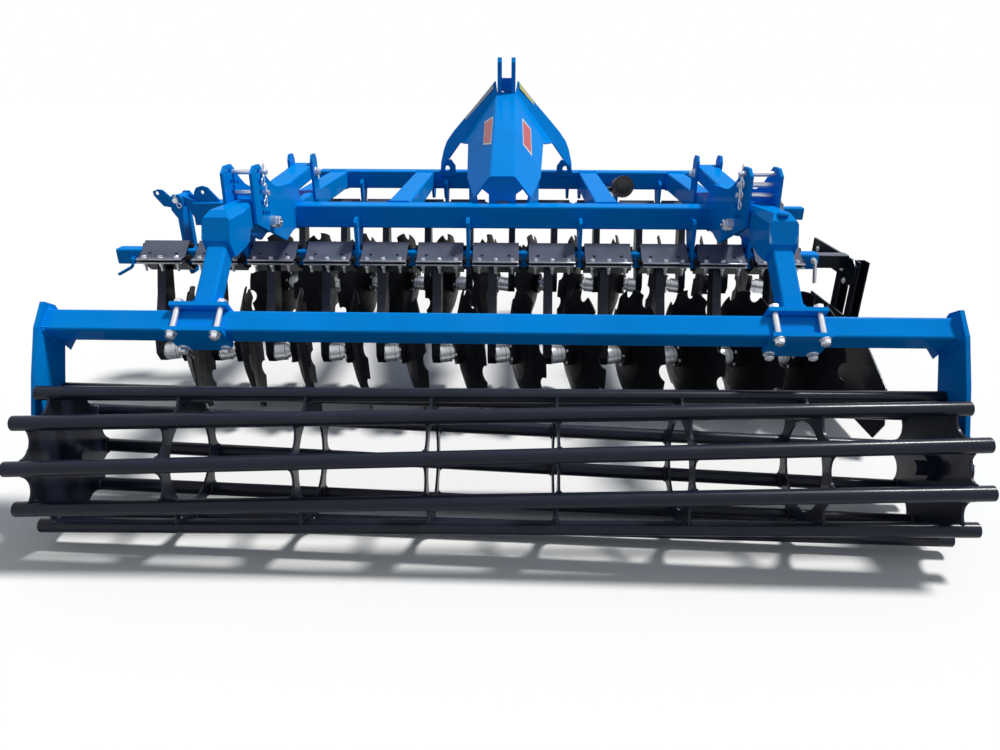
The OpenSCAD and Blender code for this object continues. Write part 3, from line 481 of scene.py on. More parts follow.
# Clamp bolts of the roller's crossbar
# Eight long zinc bolts with rolled thread draw the clamp plates together about the turned bar, each
# with a washer under its head and under its nut.
BAR_AT = (0, ROLLER_Y + 0.176, 0.665)
BAR_TURN = math.radians(40.5)
ARM_X = 0.990
ALONG_ARM = np.array([0, math.cos(BAR_TURN), math.sin(BAR_TURN)])
OVER_ARM = np.array([0, -math.sin(BAR_TURN), math.cos(BAR_TURN)])
CLAMP_BOLT_X = 0.073
CLAMP_OVER = 0.052
CLAMP_FACE = 0.055
CLAMP_BOLT_R = 0.0100
CLAMP_BOLT_END = 0.060
THREAD_TIP = -0.078
THREAD_FOOT = -0.048
THREAD_PITCH = 0.0025
CLAMP_WASHER_R = 0.0185
CLAMP_WASHER_T = 0.0035
CLAMP_HEX_R = 0.0165
CLAMP_ENDS = ((-1, 0.016, 0.3), (1, 0.0125, 0.7))  # way along the arm, height, turn of nut and head


def on_bar(points):
    """Points given as (x, along the arm, over the arm) from the bar's middle, in the machine's frame."""
    points = np.asarray(points, float)
    x, along, over = points[..., 0:1], points[..., 1:2], points[..., 2:3]
    return np.asarray(BAR_AT) + x * X + along * ALONG_ARM + over * OVER_ARM


def thread(start, end, radius):
    """The profile of a screw thread: the radius falls by a tenth halfway between turns."""
    turns = int((end - start) / THREAD_PITCH)
    at = start + np.repeat(np.arange(turns), 2) * THREAD_PITCH + np.tile([0.0, THREAD_PITCH / 2], turns)
    depth = np.tile([1.0, 0.89], turns)
    return [(float(a), float(radius * d)) for a, d in zip(at, depth)]


places = on_bar([
    (sx * ARM_X + dx, 0.0, over)
    for sx in (-1, 1) for dx in (-CLAMP_BOLT_X, CLAMP_BOLT_X) for over in (-CLAMP_OVER, CLAMP_OVER)])
shank = [
    (THREAD_TIP, CLAMP_BOLT_R * 0.85), *thread(THREAD_TIP, THREAD_FOOT, CLAMP_BOLT_R),
    (THREAD_FOOT + 0.002, CLAMP_BOLT_R), (CLAMP_BOLT_END, CLAMP_BOLT_R)]
grids = [turned(places, ALONG_ARM, shank, 16)]
for way, height, turn in CLAMP_ENDS:
    out = way * ALONG_ARM
    grids.append(washers(places + CLAMP_FACE * out, out, CLAMP_WASHER_R, CLAMP_WASHER_T, 24))
    seat = places + (CLAMP_FACE + CLAMP_WASHER_T) * out
    grids.append(hexagons(seat, out, CLAMP_HEX_R, height, turn))
bolts = surface("clamp_bolts_dressed", grids, zinc, "roller_carrier")
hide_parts("clamp_bolts")

# Frame welds
# Fillet welds in overlapping ripples, painted over. They run round each tube where it meets a plate
# or a beam, and along the top link ears, the headstock's feet and the hanger plates.
FRAME_Z = 0.847
REAR_Y = ROLLER_Y + 1.170
FRONT_Y = REAR_Y + 1.100
CROSSBEAM_Y = {"rear": REAR_Y, "front": FRONT_Y}
TUBE = 0.100
TUBE_R = 0.009
LONG_Z = 0.096
INNER_X = 0.480
INNER_W = 0.104
OUTER_W = 0.098
PLATE_OUT = 0.061
EAR_FACES = ((0.027, -1), (0.050, 1))  # place and way out of an ear's two faces
EAR_HALF = 0.038
FOOT_WELD = (0.300, 0.384)
FOOT_Z = 0.873
SIDE_BEAM_Y = 0.263
SIDE_BEAM_AT = (-1.039, SIDE_BEAM_Y, 0.817)
SIDE_BEAM_HIGH = 0.110
HANGER_GAPS = {"rear": (1, 3, 5, 7, 9, 10), "front": (2, 3, 5, 7, 9, 10)}
HANGER_T = 0.015
HANGER_REAR = ((-0.050, 0.800), (-0.050, 0.846))  # ahead of the beam's middle, up
HANGER_UNDER = ((-0.044, 0.797), (0.028, 0.797))
RIPPLE = 0.004
LEG = 0.007
THIN_LEG = 0.006
SMALL_LEG = 0.005
CORNER_STEPS = 6


def lengths(line):
    """How far each point of a line is from its start, measured along the line."""
    return np.concatenate([[0.0], np.cumsum(np.linalg.norm(np.diff(line, axis=0), axis=1))])


def between(rows, known_at, wanted_at):
    """Rows that are known at some places, at others: straight lines between the known ones."""
    return np.stack([np.interp(wanted_at, known_at, column) for column in rows.T], axis=1)


def resample(path, step, *others):
    """The points of a path again at even steps along it, and what goes with each point beside them."""
    known_at = lengths(path)
    wanted_at = np.linspace(0, known_at[-1], max(3, int(known_at[-1] / step)))
    return [between(line, known_at, wanted_at) for line in (path, *others)]


def bead(path, first, second, leg, outer=False):
    """A weld along a path where two faces meet: each ring runs along the first face by the leg, over a
    bulge and along the second. The leg grows over each ripple and drops back. Outer is for a corner
    that stands out."""
    path, first, second = np.broadcast_arrays(*(np.asarray(v, float) for v in (path, first, second)))
    path, first, second = resample(path, RIPPLE / 2, first, second)
    size = (leg * (0.88 + 0.12 * (np.arange(len(path)) % 4)))[:, None]
    if outer:
        ring = [(1.0, 0.0), (0.30, -0.20), (-0.20, -0.20), (-0.20, 0.30), (0.0, 1.0), (0.3, 0.3)]
    else:
        ring = [(-0.15, -0.15), (1.0, -0.05), (0.80, 0.42), (0.42, 0.80), (-0.05, 1.0)]
    return np.stack([path + size * (p * first + q * second) for p, q in ring], axis=1)


def tube_outline(width, height):
    """The closed outline of a square tube and its way out: four corner arcs, each its centre
    + r * (cos a, sin a), joined by straight lines."""
    quarter = np.arange(4) * np.pi / 2
    angle = (quarter[:, None] + np.linspace(0, np.pi / 2, CORNER_STEPS)).ravel()
    middle = np.repeat(quarter + np.pi / 4, CORNER_STEPS)
    way = np.stack([np.cos(angle), np.sin(angle)], axis=1)
    centre = np.sign(np.stack([np.cos(middle), np.sin(middle)], axis=1))
    line = centre * (width / 2 - TUBE_R, height / 2 - TUBE_R) + TUBE_R * way
    return np.vstack([line, line[:1]]), np.vstack([way, way[:1]])


def ring_weld(middle, width, height, across, over, away):
    """A bead round a square tube that meets a plate: away leads along the tube from the plate."""
    line, way = tube_outline(width, height)
    path = np.asarray(middle, float) + line[:, :1] * across + line[:, 1:] * over
    out = way[:, :1] * across + way[:, 1:] * over
    return bead(path, out, away, LEG)


beads = []
for s in (-1, 1):
    for way in (-1, 1):
        plate = (s * (ARM_X + way * PLATE_OUT), REAR_Y, FRAME_Z)
        beads.append(ring_weld(plate, TUBE, TUBE, Y, Z, way * s * X))
    for x, width, beam_y, way in (
            (INNER_X, INNER_W, REAR_Y, 1), (INNER_X, INNER_W, FRONT_Y, -1), (ARM_X, OUTER_W, FRONT_Y, -1)):
        end = (s * x, beam_y + way * TUBE / 2, FRAME_Z)
        beads.append(ring_weld(end, width, LONG_Z, X, Z, way * Y))
    for x, way in EAR_FACES:
        foot = [(s * x, FRONT_Y + dy, FRAME_Z + TUBE / 2) for dy in (-EAR_HALF, EAR_HALF)]
        beads.append(bead(foot, Z, s * way * X, LEG))
    foot = [(s * x, FRONT_Y - TUBE / 2, FOOT_Z) for x in FOOT_WELD]
    beads.append(bead(foot, -Z, -Y, SMALL_LEG))
beads.append(ring_weld(SIDE_BEAM_AT, TUBE, SIDE_BEAM_HIGH, Y, Z, -X))
for row, gaps in HANGER_GAPS.items():
    for gap in gaps:
        x = ROW_SIDE[row] * (FIRST_X + PITCH * gap + PITCH / 2 - SADDLE_OFF)
        for s in (-1, 1):
            for line, face in ((HANGER_REAR, -Y), (HANGER_UNDER, -Z)):
                corner = [(x + s * HANGER_T / 2, CROSSBEAM_Y[row] + ahead, up) for ahead, up in line]
                beads.append(bead(corner, face, s * X, THIN_LEG))
surface("frame_welds", beads, blue, "frame")

# Roller carrier welds
# The arm boxes are folded from two shells that are welded up along their rear edges, and the tubes are
# welded to the clamp plates and the side plates. The right box's edge seams are painted a paler, whiter
# blue with pale spots: a painted highlight for the sun's glint on those welds.
KINK_Y = ROLLER_Y + 0.455
ARM_TUBE = 0.071
BOX_HALF = 0.0488
BOX_EDGE = ((-0.0698, 0.912), (-0.0428, 0.972))  # ahead of the kink, up
SEAM_HALF = 0.026
SEAM_BACK = 0.0642
SEAM_Z = 0.8951
SEAM_UP = (0, -0.414, 0.910)
BAR = 0.080
BAR_END_X = 1.506
beads = []
# The right box's edge seams are kept apart here and drawn with a painted highlight.
glinting_seams = []
for s in (-1, 1):
    arm = s * ARM_X
    clamp = on_bar((arm, CLAMP_FACE, 0))
    beads.append(ring_weld(clamp, ARM_TUBE, ARM_TUBE, X, OVER_ARM, ALONG_ARM))
    seams = beads if s < 0 else glinting_seams
    for e in (-1, 1):
        edge = [(arm + e * BOX_HALF, KINK_Y + ahead, up) for ahead, up in BOX_EDGE]
        seams.append(bead(edge, Y, -e * X, THIN_LEG, outer=True))
    seam = [(arm + dx, KINK_Y - SEAM_BACK, SEAM_Z) for dx in (-SEAM_HALF, SEAM_HALF)]
    beads.append(bead(seam, -ALONG_ARM, SEAM_UP, THIN_LEG))
    side_plate = on_bar((s * BAR_END_X, 0, 0))
    beads.append(ring_weld(side_plate, BAR, BAR, ALONG_ARM, OVER_ARM, -s * X))
surface("carrier_welds", beads, blue, "roller_carrier")
# Painted highlight: a paler, whiter blue with many pale spots stands for the sun's glint on the right box's
# edge seams.
painted_seam_highlight = paint(
    "painted_seam_highlight", (0.16, 0.42, 0.80), (0.66, 0.74, 0.84), 0.25, 0.6, specular=0.5, drops=0.9)
surface("right_box_seams", glinting_seams, painted_seam_highlight, "roller_carrier")

# Roller welds
# Each tube is tacked to every ring plate and end disc by a bead round the half of it that lies in
# the plate, on both faces.
CAGE_R = 0.2318
CAGE_TUBE_R = 0.02415
ROLLER_Z = CAGE_R + CAGE_TUBE_R
CAGE_TUBES = 10
CAGE_TWIST = math.radians(28.7)
CAGE_PHASE = math.radians(34.3)
CAGE_HALF = 1.500
RINGS = 6
RING_PITCH = 0.412
RING_HALF_T = 0.004
END_DISC_X = 1.448
RING_AT = [(i - (RINGS - 1) / 2) * RING_PITCH for i in range(RINGS)] + [-END_DISC_X, END_DISC_X]
SEAT_R = 0.0240
SEAT_ROUND = np.linspace(-1.35, 1.35, 9)
beads = []
for k in range(CAGE_TUBES):
    ends_at = CAGE_PHASE + k * 2 * math.pi / CAGE_TUBES + np.array([-0.5, 0.5]) * CAGE_TWIST
    ends = CAGE_R * np.stack([-np.cos(ends_at), np.sin(ends_at)], axis=1)
    for x in RING_AT:
        share = (x + CAGE_HALF) / (2 * CAGE_HALF)
        centre = ends[0] * (1 - share) + ends[1] * share
        angle = math.atan2(-centre[1], -centre[0]) + SEAT_ROUND
        out = np.stack([np.zeros_like(angle), np.cos(angle), np.sin(angle)], axis=1)
        for s in (-1, 1):
            middle = np.array([x + s * RING_HALF_T, ROLLER_Y + centre[0], ROLLER_Z + centre[1]])
            beads.append(bead(middle + SEAT_R * out, out, s * X, SMALL_LEG))
surface("roller_welds", beads, roller_black, "roller")

# Bearing caps
# A pressed black cap closes each end bearing of the roller, and four zinc bolts hold the housing to
# its side plate.
SIDES = ((-1, "left"), (1, "right"))
BEARING_X = 1.551
BEARING_CAP = [(0, 0.036), (0.003, 0.036), (0.006, 0.033), (0.009, 0.024), (0.010, 0.010)]
BEARING_BOLTS_R = 0.048
BEARING_HEX_R = 0.0095
BEARING_HEX_TURN = 0.4


def circle(middle, across, other, radius, count, start=0.0):
    """Places round a middle: middle + radius * (cos a * across + sin a * other), a in equal steps."""
    angle = start + np.arange(count) * 2 * np.pi / count
    return middle + radius * (np.cos(angle)[:, None] * across + np.sin(angle)[:, None] * other)


for s, name in SIDES:
    out = s * X
    face = np.array([s * BEARING_X, ROLLER_Y, ROLLER_Z])
    cap = turned(face, out, BEARING_CAP, 32)
    surface(f"{name}_bearing_cap", [cap], black, "roller_carrier")
    places = circle(face, Y, Z, BEARING_BOLTS_R, 4, math.pi / 4)
    heads = hexagons(places + WASHER_T * out, out, BEARING_HEX_R, HEAD_H, BEARING_HEX_TURN)
    grids = [washers(places, out, WASHER_R, WASHER_T, 16), heads]
    surface(f"{name}_bearing_bolts", grids, zinc, "roller_carrier")

# Disc bolts and hub seals
# Five bolts hold each disc to the flange of its hub, heads on the hollow side and nuts behind. Black
# rubber seals run round the hub where its rings meet.
DISC_R = 0.280
RIM_OUT = 0.122
DISC_ANGLE = math.radians(16)
DISC_LEAN = math.radians(2)
HUB_Z = DISC_R * math.cos(DISC_LEAN) - RIM_OUT * math.sin(DISC_LEAN)
DISC_BOLTS = 5
DISC_BOLTS_R = 0.050
DISC_TURN = 0.4
HOLLOW_FACE = 0.0695
DISC_HEX_R = 0.0088
FLANGE_BACK = 0.042
DISC_NUT_R = 0.0075
DISC_NUT_H = 0.006
HUB_R = 0.042
SEAL_AT = (-0.030, 0.015)
SEAL_FOOT = HUB_R - 0.002
SEAL_R = HUB_R + 0.0004
SEAL = [(0, SEAL_FOOT), (0.0002, SEAL_R), (0.0022, SEAL_R), (0.0024, SEAL_FOOT)]
seals = []
for name in DISCS:
    row, number = name.split("_disc_")
    number = int(number)
    side = ROW_SIDE[row]
    heading = DISC_ANGLE if side > 0 else math.pi - DISC_ANGLE
    level = math.cos(DISC_LEAN)
    axle = np.array([math.cos(heading) * level, math.sin(heading) * level, math.sin(DISC_LEAN)])
    hub = np.array([side * (FIRST_X + PITCH * (number - 1)), HUB_Y[row], HUB_Z])
    across = np.cross(axle, Z)
    across = across / np.linalg.norm(across)
    other = np.cross(axle, across)
    places = circle(hub, across, other, DISC_BOLTS_R, DISC_BOLTS, number * DISC_TURN)
    grids = [hexagons(places + HOLLOW_FACE * axle, axle, DISC_HEX_R, HEAD_H),
             hexagons(places + FLANGE_BACK * axle, -axle, DISC_NUT_R, DISC_NUT_H)]
    surface(f"{name}_bolts", grids, zinc, name)
    seals.append(turned(np.outer(SEAL_AT, axle) + hub, axle, SEAL, 40))
surface("hub_seals", seals, rubber, "frame")

# Nuts on the pivot bolts and the upper beams' pins
# Zinc hexagon nuts with their washers close the heavy pivots on both sides, and a grease nipple is
# screwed into each pivot bolt's inner end.
PIVOT = (ROLLER_Y + 0.800, 0.889)
PIVOT_END = 0.085
PIVOT_HEX_R = 0.0225
PIVOT_HEX_H = 0.014
PIVOT_TURN = 0.2
UPPER_PIN = (ROLLER_Y + 1.5097, 0.99153)
UPPER_WASHER_R = 0.022
UPPER_WASHER_T = 0.004
UPPER_HEX_R = 0.0185
UPPER_HEX_H = 0.012
UPPER_TURN = 0.5
NIPPLE_FOOT = 0.099
NIPPLE = [
    (0, 0.0045), (0.003, 0.0045), (0.004, 0.003), (0.006, 0.003), (0.007, 0.0034), (0.008, 0.002)]
grids = []
for s in (-1, 1):
    for e in (-1, 1):
        out = e * X
        end = (s * ARM_X + e * PIVOT_END, *PIVOT)
        grids.append(hexagons(end, out, PIVOT_HEX_R, PIVOT_HEX_H, PIVOT_TURN))
        upper = np.array([s * ARM_X + e * PLATE_OUT, *UPPER_PIN])
        grids.append(washers(upper, out, UPPER_WASHER_R, UPPER_WASHER_T, 24))
        grids.append(hexagons(upper + UPPER_WASHER_T * out, out, UPPER_HEX_R, UPPER_HEX_H, UPPER_TURN))
    grids.append(turned((s * (ARM_X - NIPPLE_FOOT), *PIVOT), -s * X, NIPPLE, 10))
surface("pivot_nuts", grids, zinc, "frame")

# Spring clips
# Bent from zinc spring wire: one leg goes down through the pin's end, and a loop joins it to a wavy
# leg that grips the pin from outside.
WIRE_R = 0.0020
WIRE_STEP = 0.0022
CLIP = 0.072
SMALL_CLIP = 0.050
CLIP_DOWN = (0, -0.25, -0.97)
CLIP_SIDE = (0, -0.97, 0.25)
PIN_HOLES = {-1: ((0, 1), (2, 1)), 1: ((0, 0), (1, 0), (2, 0))}  # row and column, by side
PIN_END = 0.073
FIRST_HOLE_Y = ROLLER_Y + 0.720
FIRST_HOLE_Z = 1.098
COLUMN_AHEAD = 0.032
COLUMN_DOWN = 0.006
ROW_DOWN = 0.040
SIDE_ARM_PIN = (-1.549, SIDE_BEAM_Y - 0.070, 0.884)


def swept(path, across, radius, sides):
    """A round wire along a flat path: each ring is path + r * (cos a * across + sin a * other), where
    across is the way out of the path's plane and other lies in it."""
    path = np.asarray(path, float)
    run = np.gradient(path, axis=0)
    run = run / np.linalg.norm(run, axis=1, keepdims=True)
    across = np.broadcast_to(np.asarray(across, float), path.shape)
    other = np.cross(run, across)
    angle = np.arange(sides) * 2 * np.pi / sides
    rim = np.cos(angle)[:, None] * across[:, None] + np.sin(angle)[:, None] * other[:, None]
    return path[:, None] + radius * rim


def clip_line(size):
    """A clip's line as (down, side), in shares of its size: a straight leg, three quarters of a turn
    about (far, loop), and a cosine wave of height bulge back beside the leg."""
    far, loop, wave_from, bulge = 0.55, 0.20, 0.33, 0.10
    leg = np.stack([np.linspace(-0.45, far, 12), np.zeros(12)], axis=1)
    turn_at = np.linspace(-math.pi / 2, math.pi, 16)
    bend = np.stack([far + loop * np.cos(turn_at), loop + loop * np.sin(turn_at)], axis=1)
    back = np.linspace(wave_from, -0.50, 18)
    wave = np.stack([back, loop + bulge * np.cos((back - wave_from) * 9.0) - bulge], axis=1)
    return size * np.vstack([leg, bend[1:], wave[1:]])


def clip(place, down, side, size):
    """A spring clip through a pin's end at place, its line laid out along down and side."""
    line = clip_line(size)
    down, side = np.asarray(down, float), np.asarray(side, float)
    line, = resample(np.asarray(place, float) + line[:, :1] * down + line[:, 1:] * side, WIRE_STEP)
    return swept(line, np.cross(down, side), WIRE_R, 7)


grids = []
for s, holes in PIN_HOLES.items():
    for row_at, column in holes:
        hole_y = FIRST_HOLE_Y + COLUMN_AHEAD * column
        hole_z = FIRST_HOLE_Z - ROW_DOWN * row_at - COLUMN_DOWN * column
        grids.append(clip((s * (ARM_X - PIN_END), hole_y, hole_z), CLIP_DOWN, CLIP_SIDE, CLIP))
grids.append(clip(SIDE_ARM_PIN, (0.2, 0, -0.98), (0.98, 0, 0.2), SMALL_CLIP))
surface("spring_clips", grids, zinc, "frame")

# Headstock
# One 8 mm sheet folded to a ridge with two leaning side panels. Wings lean over the front beam, feet
# stand before it, lips run along the sides and a plate closes the rear end. Blue powder coat.
SHEET = 0.008
NECK_Y = ROLLER_Y + 1.206
NECK_Z = 1.015
FOLD_Y = ROLLER_Y + 2.217
RIDGE_RISE = 0.317
RIDGE_HALF = 0.056
FOLD_REACH = 0.010
PANEL_SLOPE = math.atan2(RIDGE_RISE, FOLD_Y - NECK_Y)
PANEL_LEAN = math.radians(50.5)
PANEL_FOOT = np.array([  # share of the ridge, then out, along and up: the panel's lower outline
    (0.00, 0.131, NECK_Y, 0.921), (0.33, 0.183, NECK_Y + 0.344, 0.961),
    (0.82, 0.209, NECK_Y + 0.832, 1.076), (0.86, 0.228, NECK_Y + 0.869, 1.070),
    (1.00, 0.268, FOLD_Y, 1.061)])
RIDGE_STEPS = 61
FOLD_STEPS = 6


def slab(outer, inner, closed=False):
    """Corners and quads of a plate between an outer and an inner grid (rows, columns, 3): both faces and
    a border along each edge. The columns of a closed one run round and meet."""
    index = np.arange(outer.shape[0] * outer.shape[1] * 2).reshape(2, *outer.shape[:2])
    if closed:
        index = np.concatenate([index, index[:, :, :1]], axis=2)

    def quads(first, second):
        ring = (first[..., :-1], first[..., 1:], second[..., 1:], second[..., :-1])
        return np.stack(ring, axis=-1).reshape(-1, 4)

    faces = [quads(index[:, :-1], index[:, 1:]), quads(index[0, [0, -1]], index[1, [0, -1]])]
    if not closed:
        faces.append(quads(index[0][:, [0, -1]].T, index[1][:, [0, -1]].T))
    return np.concatenate([outer.reshape(-1, 3), inner.reshape(-1, 3)]), np.concatenate(faces)


def plates(name, slabs, material, body):
    """One object from several slabs."""
    starts = np.cumsum([0] + [len(corners) for corners, _ in slabs])
    corners = np.concatenate([corners for corners, _ in slabs])
    faces = np.concatenate([quads + start for (_, quads), start in zip(slabs, starts)])
    return finished(name, corners, faces, material, body)


def along_line(points, shares):
    """Points at shares of the length of an open line."""
    known_at = lengths(points)
    return between(points, known_at / known_at[-1], shares)


along_ridge = np.array([0, math.cos(PANEL_SLOPE), math.sin(PANEL_SLOPE)])
ridge_out = np.array([0, -math.sin(PANEL_SLOPE), math.cos(PANEL_SLOPE)])
share = np.union1d(np.linspace(0, 1, RIDGE_STEPS), PANEL_FOOT[:, 0])[:, None]
fold = np.linspace(0, 1, FOLD_STEPS)[None, :, None]
outer, inner = [], []
panel_out, down_panel = {}, {}
for s in (-1, 1):
    down_panel[s] = np.array([
        s * math.cos(PANEL_LEAN), math.sin(PANEL_LEAN) * math.sin(PANEL_SLOPE),
        -math.sin(PANEL_LEAN) * math.cos(PANEL_SLOPE)])
    normal = np.cross(along_ridge, down_panel[s])
    panel_out[s] = normal * np.sign(normal[2])
    top = np.array([s * RIDGE_HALF, NECK_Y, NECK_Z]) + share * np.array([0, FOLD_Y - NECK_Y, RIDGE_RISE])
    foot = between(PANEL_FOOT[:, 1:], PANEL_FOOT[:, 0], share[:, 0]) * (s, 1, 1)
    way = (foot - top) / np.linalg.norm(foot - top, axis=1, keepdims=True)
    below, level = top + FOLD_REACH * way, top - s * FOLD_REACH * X
    bend = (1 - fold) ** 2 * below[:, None] + fold ** 2 * level[:, None]
    bend = bend + 2 * fold * (1 - fold) * top[:, None]
    normals = (1 - fold) * panel_out[s] + fold * ridge_out
    normals = normals / np.linalg.norm(normals, axis=2, keepdims=True)
    half_outer = np.concatenate([foot[:, None], bend], axis=1)
    half_inner = half_outer - SHEET * np.concatenate([normals[:, :1], normals], axis=1)
    outer.append(half_outer if s < 0 else half_outer[:, ::-1])
    inner.append(half_inner if s < 0 else half_inner[:, ::-1])
slabs = [slab(np.concatenate(outer, axis=1), np.concatenate(inner, axis=1))]

LIP_TURN = math.radians(8.9)
LIP_OUT = 0.121
LIP = np.array([  # along the lip, lower edge, upper edge
    (0.000, 0.897, 0.9190), (0.022, 0.897, 0.9215), (0.022, 0.806, 0.9215), (0.040, 0.806, 0.9236),
    (0.348, 0.838, 0.9590)])
WING_BACK = 0.0015
WING_INNER = np.array([(0.056, 1.332), (0.268, 1.061), (0.352, 0.950), (0.374, 0.873)])  # out, up
WING_OUTER = np.array([  # out, along, up
    (0.066, 1.173, 1.389), (0.157, 1.163, 1.282), (0.254, 1.175, 1.178), (0.310, 1.182, 1.116),
    (0.350, 1.181, 1.062), (0.368, 1.168, 1.016), (0.384, 1.145, 0.946), (0.389, 1.130, 0.871)])
WING_STEPS = 41
FOOT_FACE = FRONT_Y - 0.058
FOOT_OUTLINE = np.array([  # out, up
    (0.296, 0.873), (0.296, 0.932), (0.324, 0.970), (0.352, 0.950), (0.372, 0.932), (0.388, 0.900),
    (0.388, 0.873), (0.296, 0.873)])
FOOT_STEPS = 57
FOOT_HOLE = (0.346, 0.916)
FOOT_HOLE_R = 0.015
at = np.linspace(0, 1, WING_STEPS)
for s in (-1, 1):
    run = np.array([s * math.sin(LIP_TURN), math.cos(LIP_TURN), 0])
    side = np.array([s * math.cos(LIP_TURN), -math.sin(LIP_TURN), 0])
    base = np.array([s * LIP_OUT, NECK_Y, 0]) + LIP[:, :1] * run
    lip = np.stack([base + LIP[:, 1:2] * Z, base + LIP[:, 2:] * Z], axis=1)
    slabs.append(slab(lip, lip - SHEET * side))
    fold_line = np.insert(along_line(WING_INNER, at), 1, FOLD_Y - WING_BACK, axis=1)
    wing = np.stack([fold_line, along_line(WING_OUTER, at)], axis=1) * (s, 1, 1)
    normal = np.cross(wing[:, 1] - wing[:, 0], np.gradient(wing[:, 0], axis=0))
    normal = normal / np.linalg.norm(normal, axis=1, keepdims=True) * np.sign(-normal[:, 1:2])
    slabs.append(slab(wing, wing - SHEET * normal[:, None]))
    rim = along_line(FOOT_OUTLINE, np.linspace(0, 1, FOOT_STEPS)[:-1])
    way = rim - FOOT_HOLE
    hole = FOOT_HOLE + FOOT_HOLE_R * way / np.linalg.norm(way, axis=1, keepdims=True)
    foot = np.insert(np.stack([hole, rim]), 1, FOOT_FACE, axis=2) * (s, 1, 1)
    slabs.append(slab(foot, foot + SHEET * Y, closed=True))

NECK_BACK = 0.002
NECK_HALF = np.array([  # out, lower edge, upper edge, of the closing plate's right half
    (0.027, 0.906, 1.010), (0.027, 0.897, 1.010), (0.057, 0.897, 1.010), (0.062, 0.897, 1.0032),
    (0.062, 0.936, 1.0032), (0.094, 0.9599, 0.960)])
outline = np.concatenate([NECK_HALF[::-1] * (-1, 1, 1), NECK_HALF])
neck = np.stack([np.insert(outline[:, [0, k]], 1, NECK_Y - NECK_BACK, axis=1) for k in (1, 2)], axis=1)
slabs.append(slab(neck, neck + SHEET * Y))
folded = plates("headstock_folded", slabs, blue, "frame")
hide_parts("headstock")

# Plain patches on the headstock
# Red film with a white border on both side panels, and pale yellow and silver strips along the top of
# the wings. They are glued on and carry nothing.
FADE_SCALE = 30.0
SHEEN_SCALE = 60.0
FILM_PEEL_SCALE = 300.0
BORDER = (-0.0004, 0.0006)  # each film's lower and upper side, over the sheet
RED = (0.0, 0.0010)
STRIP = (-0.0010, 0.0016)
RED_SHARE = 0.88


def film(name, colour, roughness):
    """Printed film: an even colour, faintly faded in clouds, with a slight orange peel."""
    made = bpy.data.materials.new(name)
    made.use_nodes = True
    tree = made.node_tree
    shader = tree.nodes["Principled BSDF"]
    faded = tuple(c * 0.85 + 0.06 for c in colour) + (1.0,)
    fading = ramp(tree, noise(tree, FADE_SCALE), 0.35, 0.75, 0.0, 0.5)
    tree.links.new(blend_colour(tree, fading, colour + (1.0,), faded), shader.inputs["Base Color"])
    sheen = ramp(tree, noise(tree, SHEEN_SCALE), 0.3, 0.7, roughness, roughness * 1.4)
    tree.links.new(sheen, shader.inputs["Roughness"])
    peel = bump(tree, noise(tree, FILM_PEEL_SCALE, 2.0), 0.15, 0.0003)
    tree.links.new(peel, shader.inputs["Normal"])
    return made


def patch(corners, out, heights, share=1.0):
    """A thin slab over four corners, between two heights above them, shrunk about its middle by share."""
    corners = np.asarray(corners, float)
    middle = corners.mean(axis=0)
    corners = middle + share * (corners - middle)
    return np.stack([corners + height * out for height in heights])


red_film = film("red_film", (0.50, 0.028, 0.040), 0.35)
white_film = film("white_film", (0.72, 0.72, 0.74), 0.35)
yellow_film = film("yellow_film", (0.72, 0.66, 0.20), 0.30)
silver_film = film("silver_film", (0.55, 0.57, 0.58), 0.30)
PATCHES = {  # corners on the panel as (along the ridge, down from it)
    -1: ((0.805, 0.091), (0.730, 0.014), (0.370, 0.012), (0.490, 0.083)),
    1: ((0.784, 0.052), (0.780, 0.127), (0.443, 0.131), (0.452, 0.061)),
}
for s, name in SIDES:
    start = np.array([s * RIDGE_HALF, NECK_Y, NECK_Z])
    corners = [start + along * along_ridge + down * down_panel[s] for along, down in PATCHES[s]]
    border = patch(corners, panel_out[s], BORDER)
    surface(f"{name}_patch_border", [border], white_film, "frame")
    red = patch(corners, panel_out[s], RED, RED_SHARE)
    surface(f"{name}_patch", [red], red_film, "frame")

STRIPS = (  # out, up on the leaned wing
    ("right_strip", yellow_film, 1, ((0.072, 1.380), (0.153, 1.280), (0.159, 1.260), (0.074, 1.351))),
    ("left_strip", silver_film, -1, ((0.073, 1.377), (0.243, 1.186), (0.231, 1.183), (0.073, 1.350))),
)
STRIP_BACK = 0.0025
WING_LEAN = 0.98  # how far forward the wing goes for each metre away from its fold
wing_edge = WING_INNER[1] - WING_INNER[0]
edge_length = np.linalg.norm(wing_edge)
for name, material, s, points in STRIPS:
    points = np.asarray(points)
    away = (points - WING_INNER[0]) @ np.array([-wing_edge[1], wing_edge[0]]) / edge_length
    strip_y = FOLD_Y - STRIP_BACK + WING_LEAN * away
    corners = np.stack([s * points[:, 0], strip_y, points[:, 1]], axis=1)
    out = np.array([-s * wing_edge[1], -edge_length, wing_edge[0]])
    out = out / np.linalg.norm(out)
    surface(name, [patch(corners, out, STRIP)], material, "frame")

# Cap on the right arm box
# A small domed cap, pressed from steel and painted over, closes the filling hole at the rear of the
# box's top.
ARM_CAP_AT = (ARM_X, KINK_Y - 0.020, 1.0025)
ARM_CAP = [(-0.004, 0.019), (0.003, 0.019), (0.006, 0.016), (0.008, 0.009)]
cap = turned(ARM_CAP_AT, Z, ARM_CAP, 28)
surface("right_arm_cap", [cap], blue, "roller_carrier")

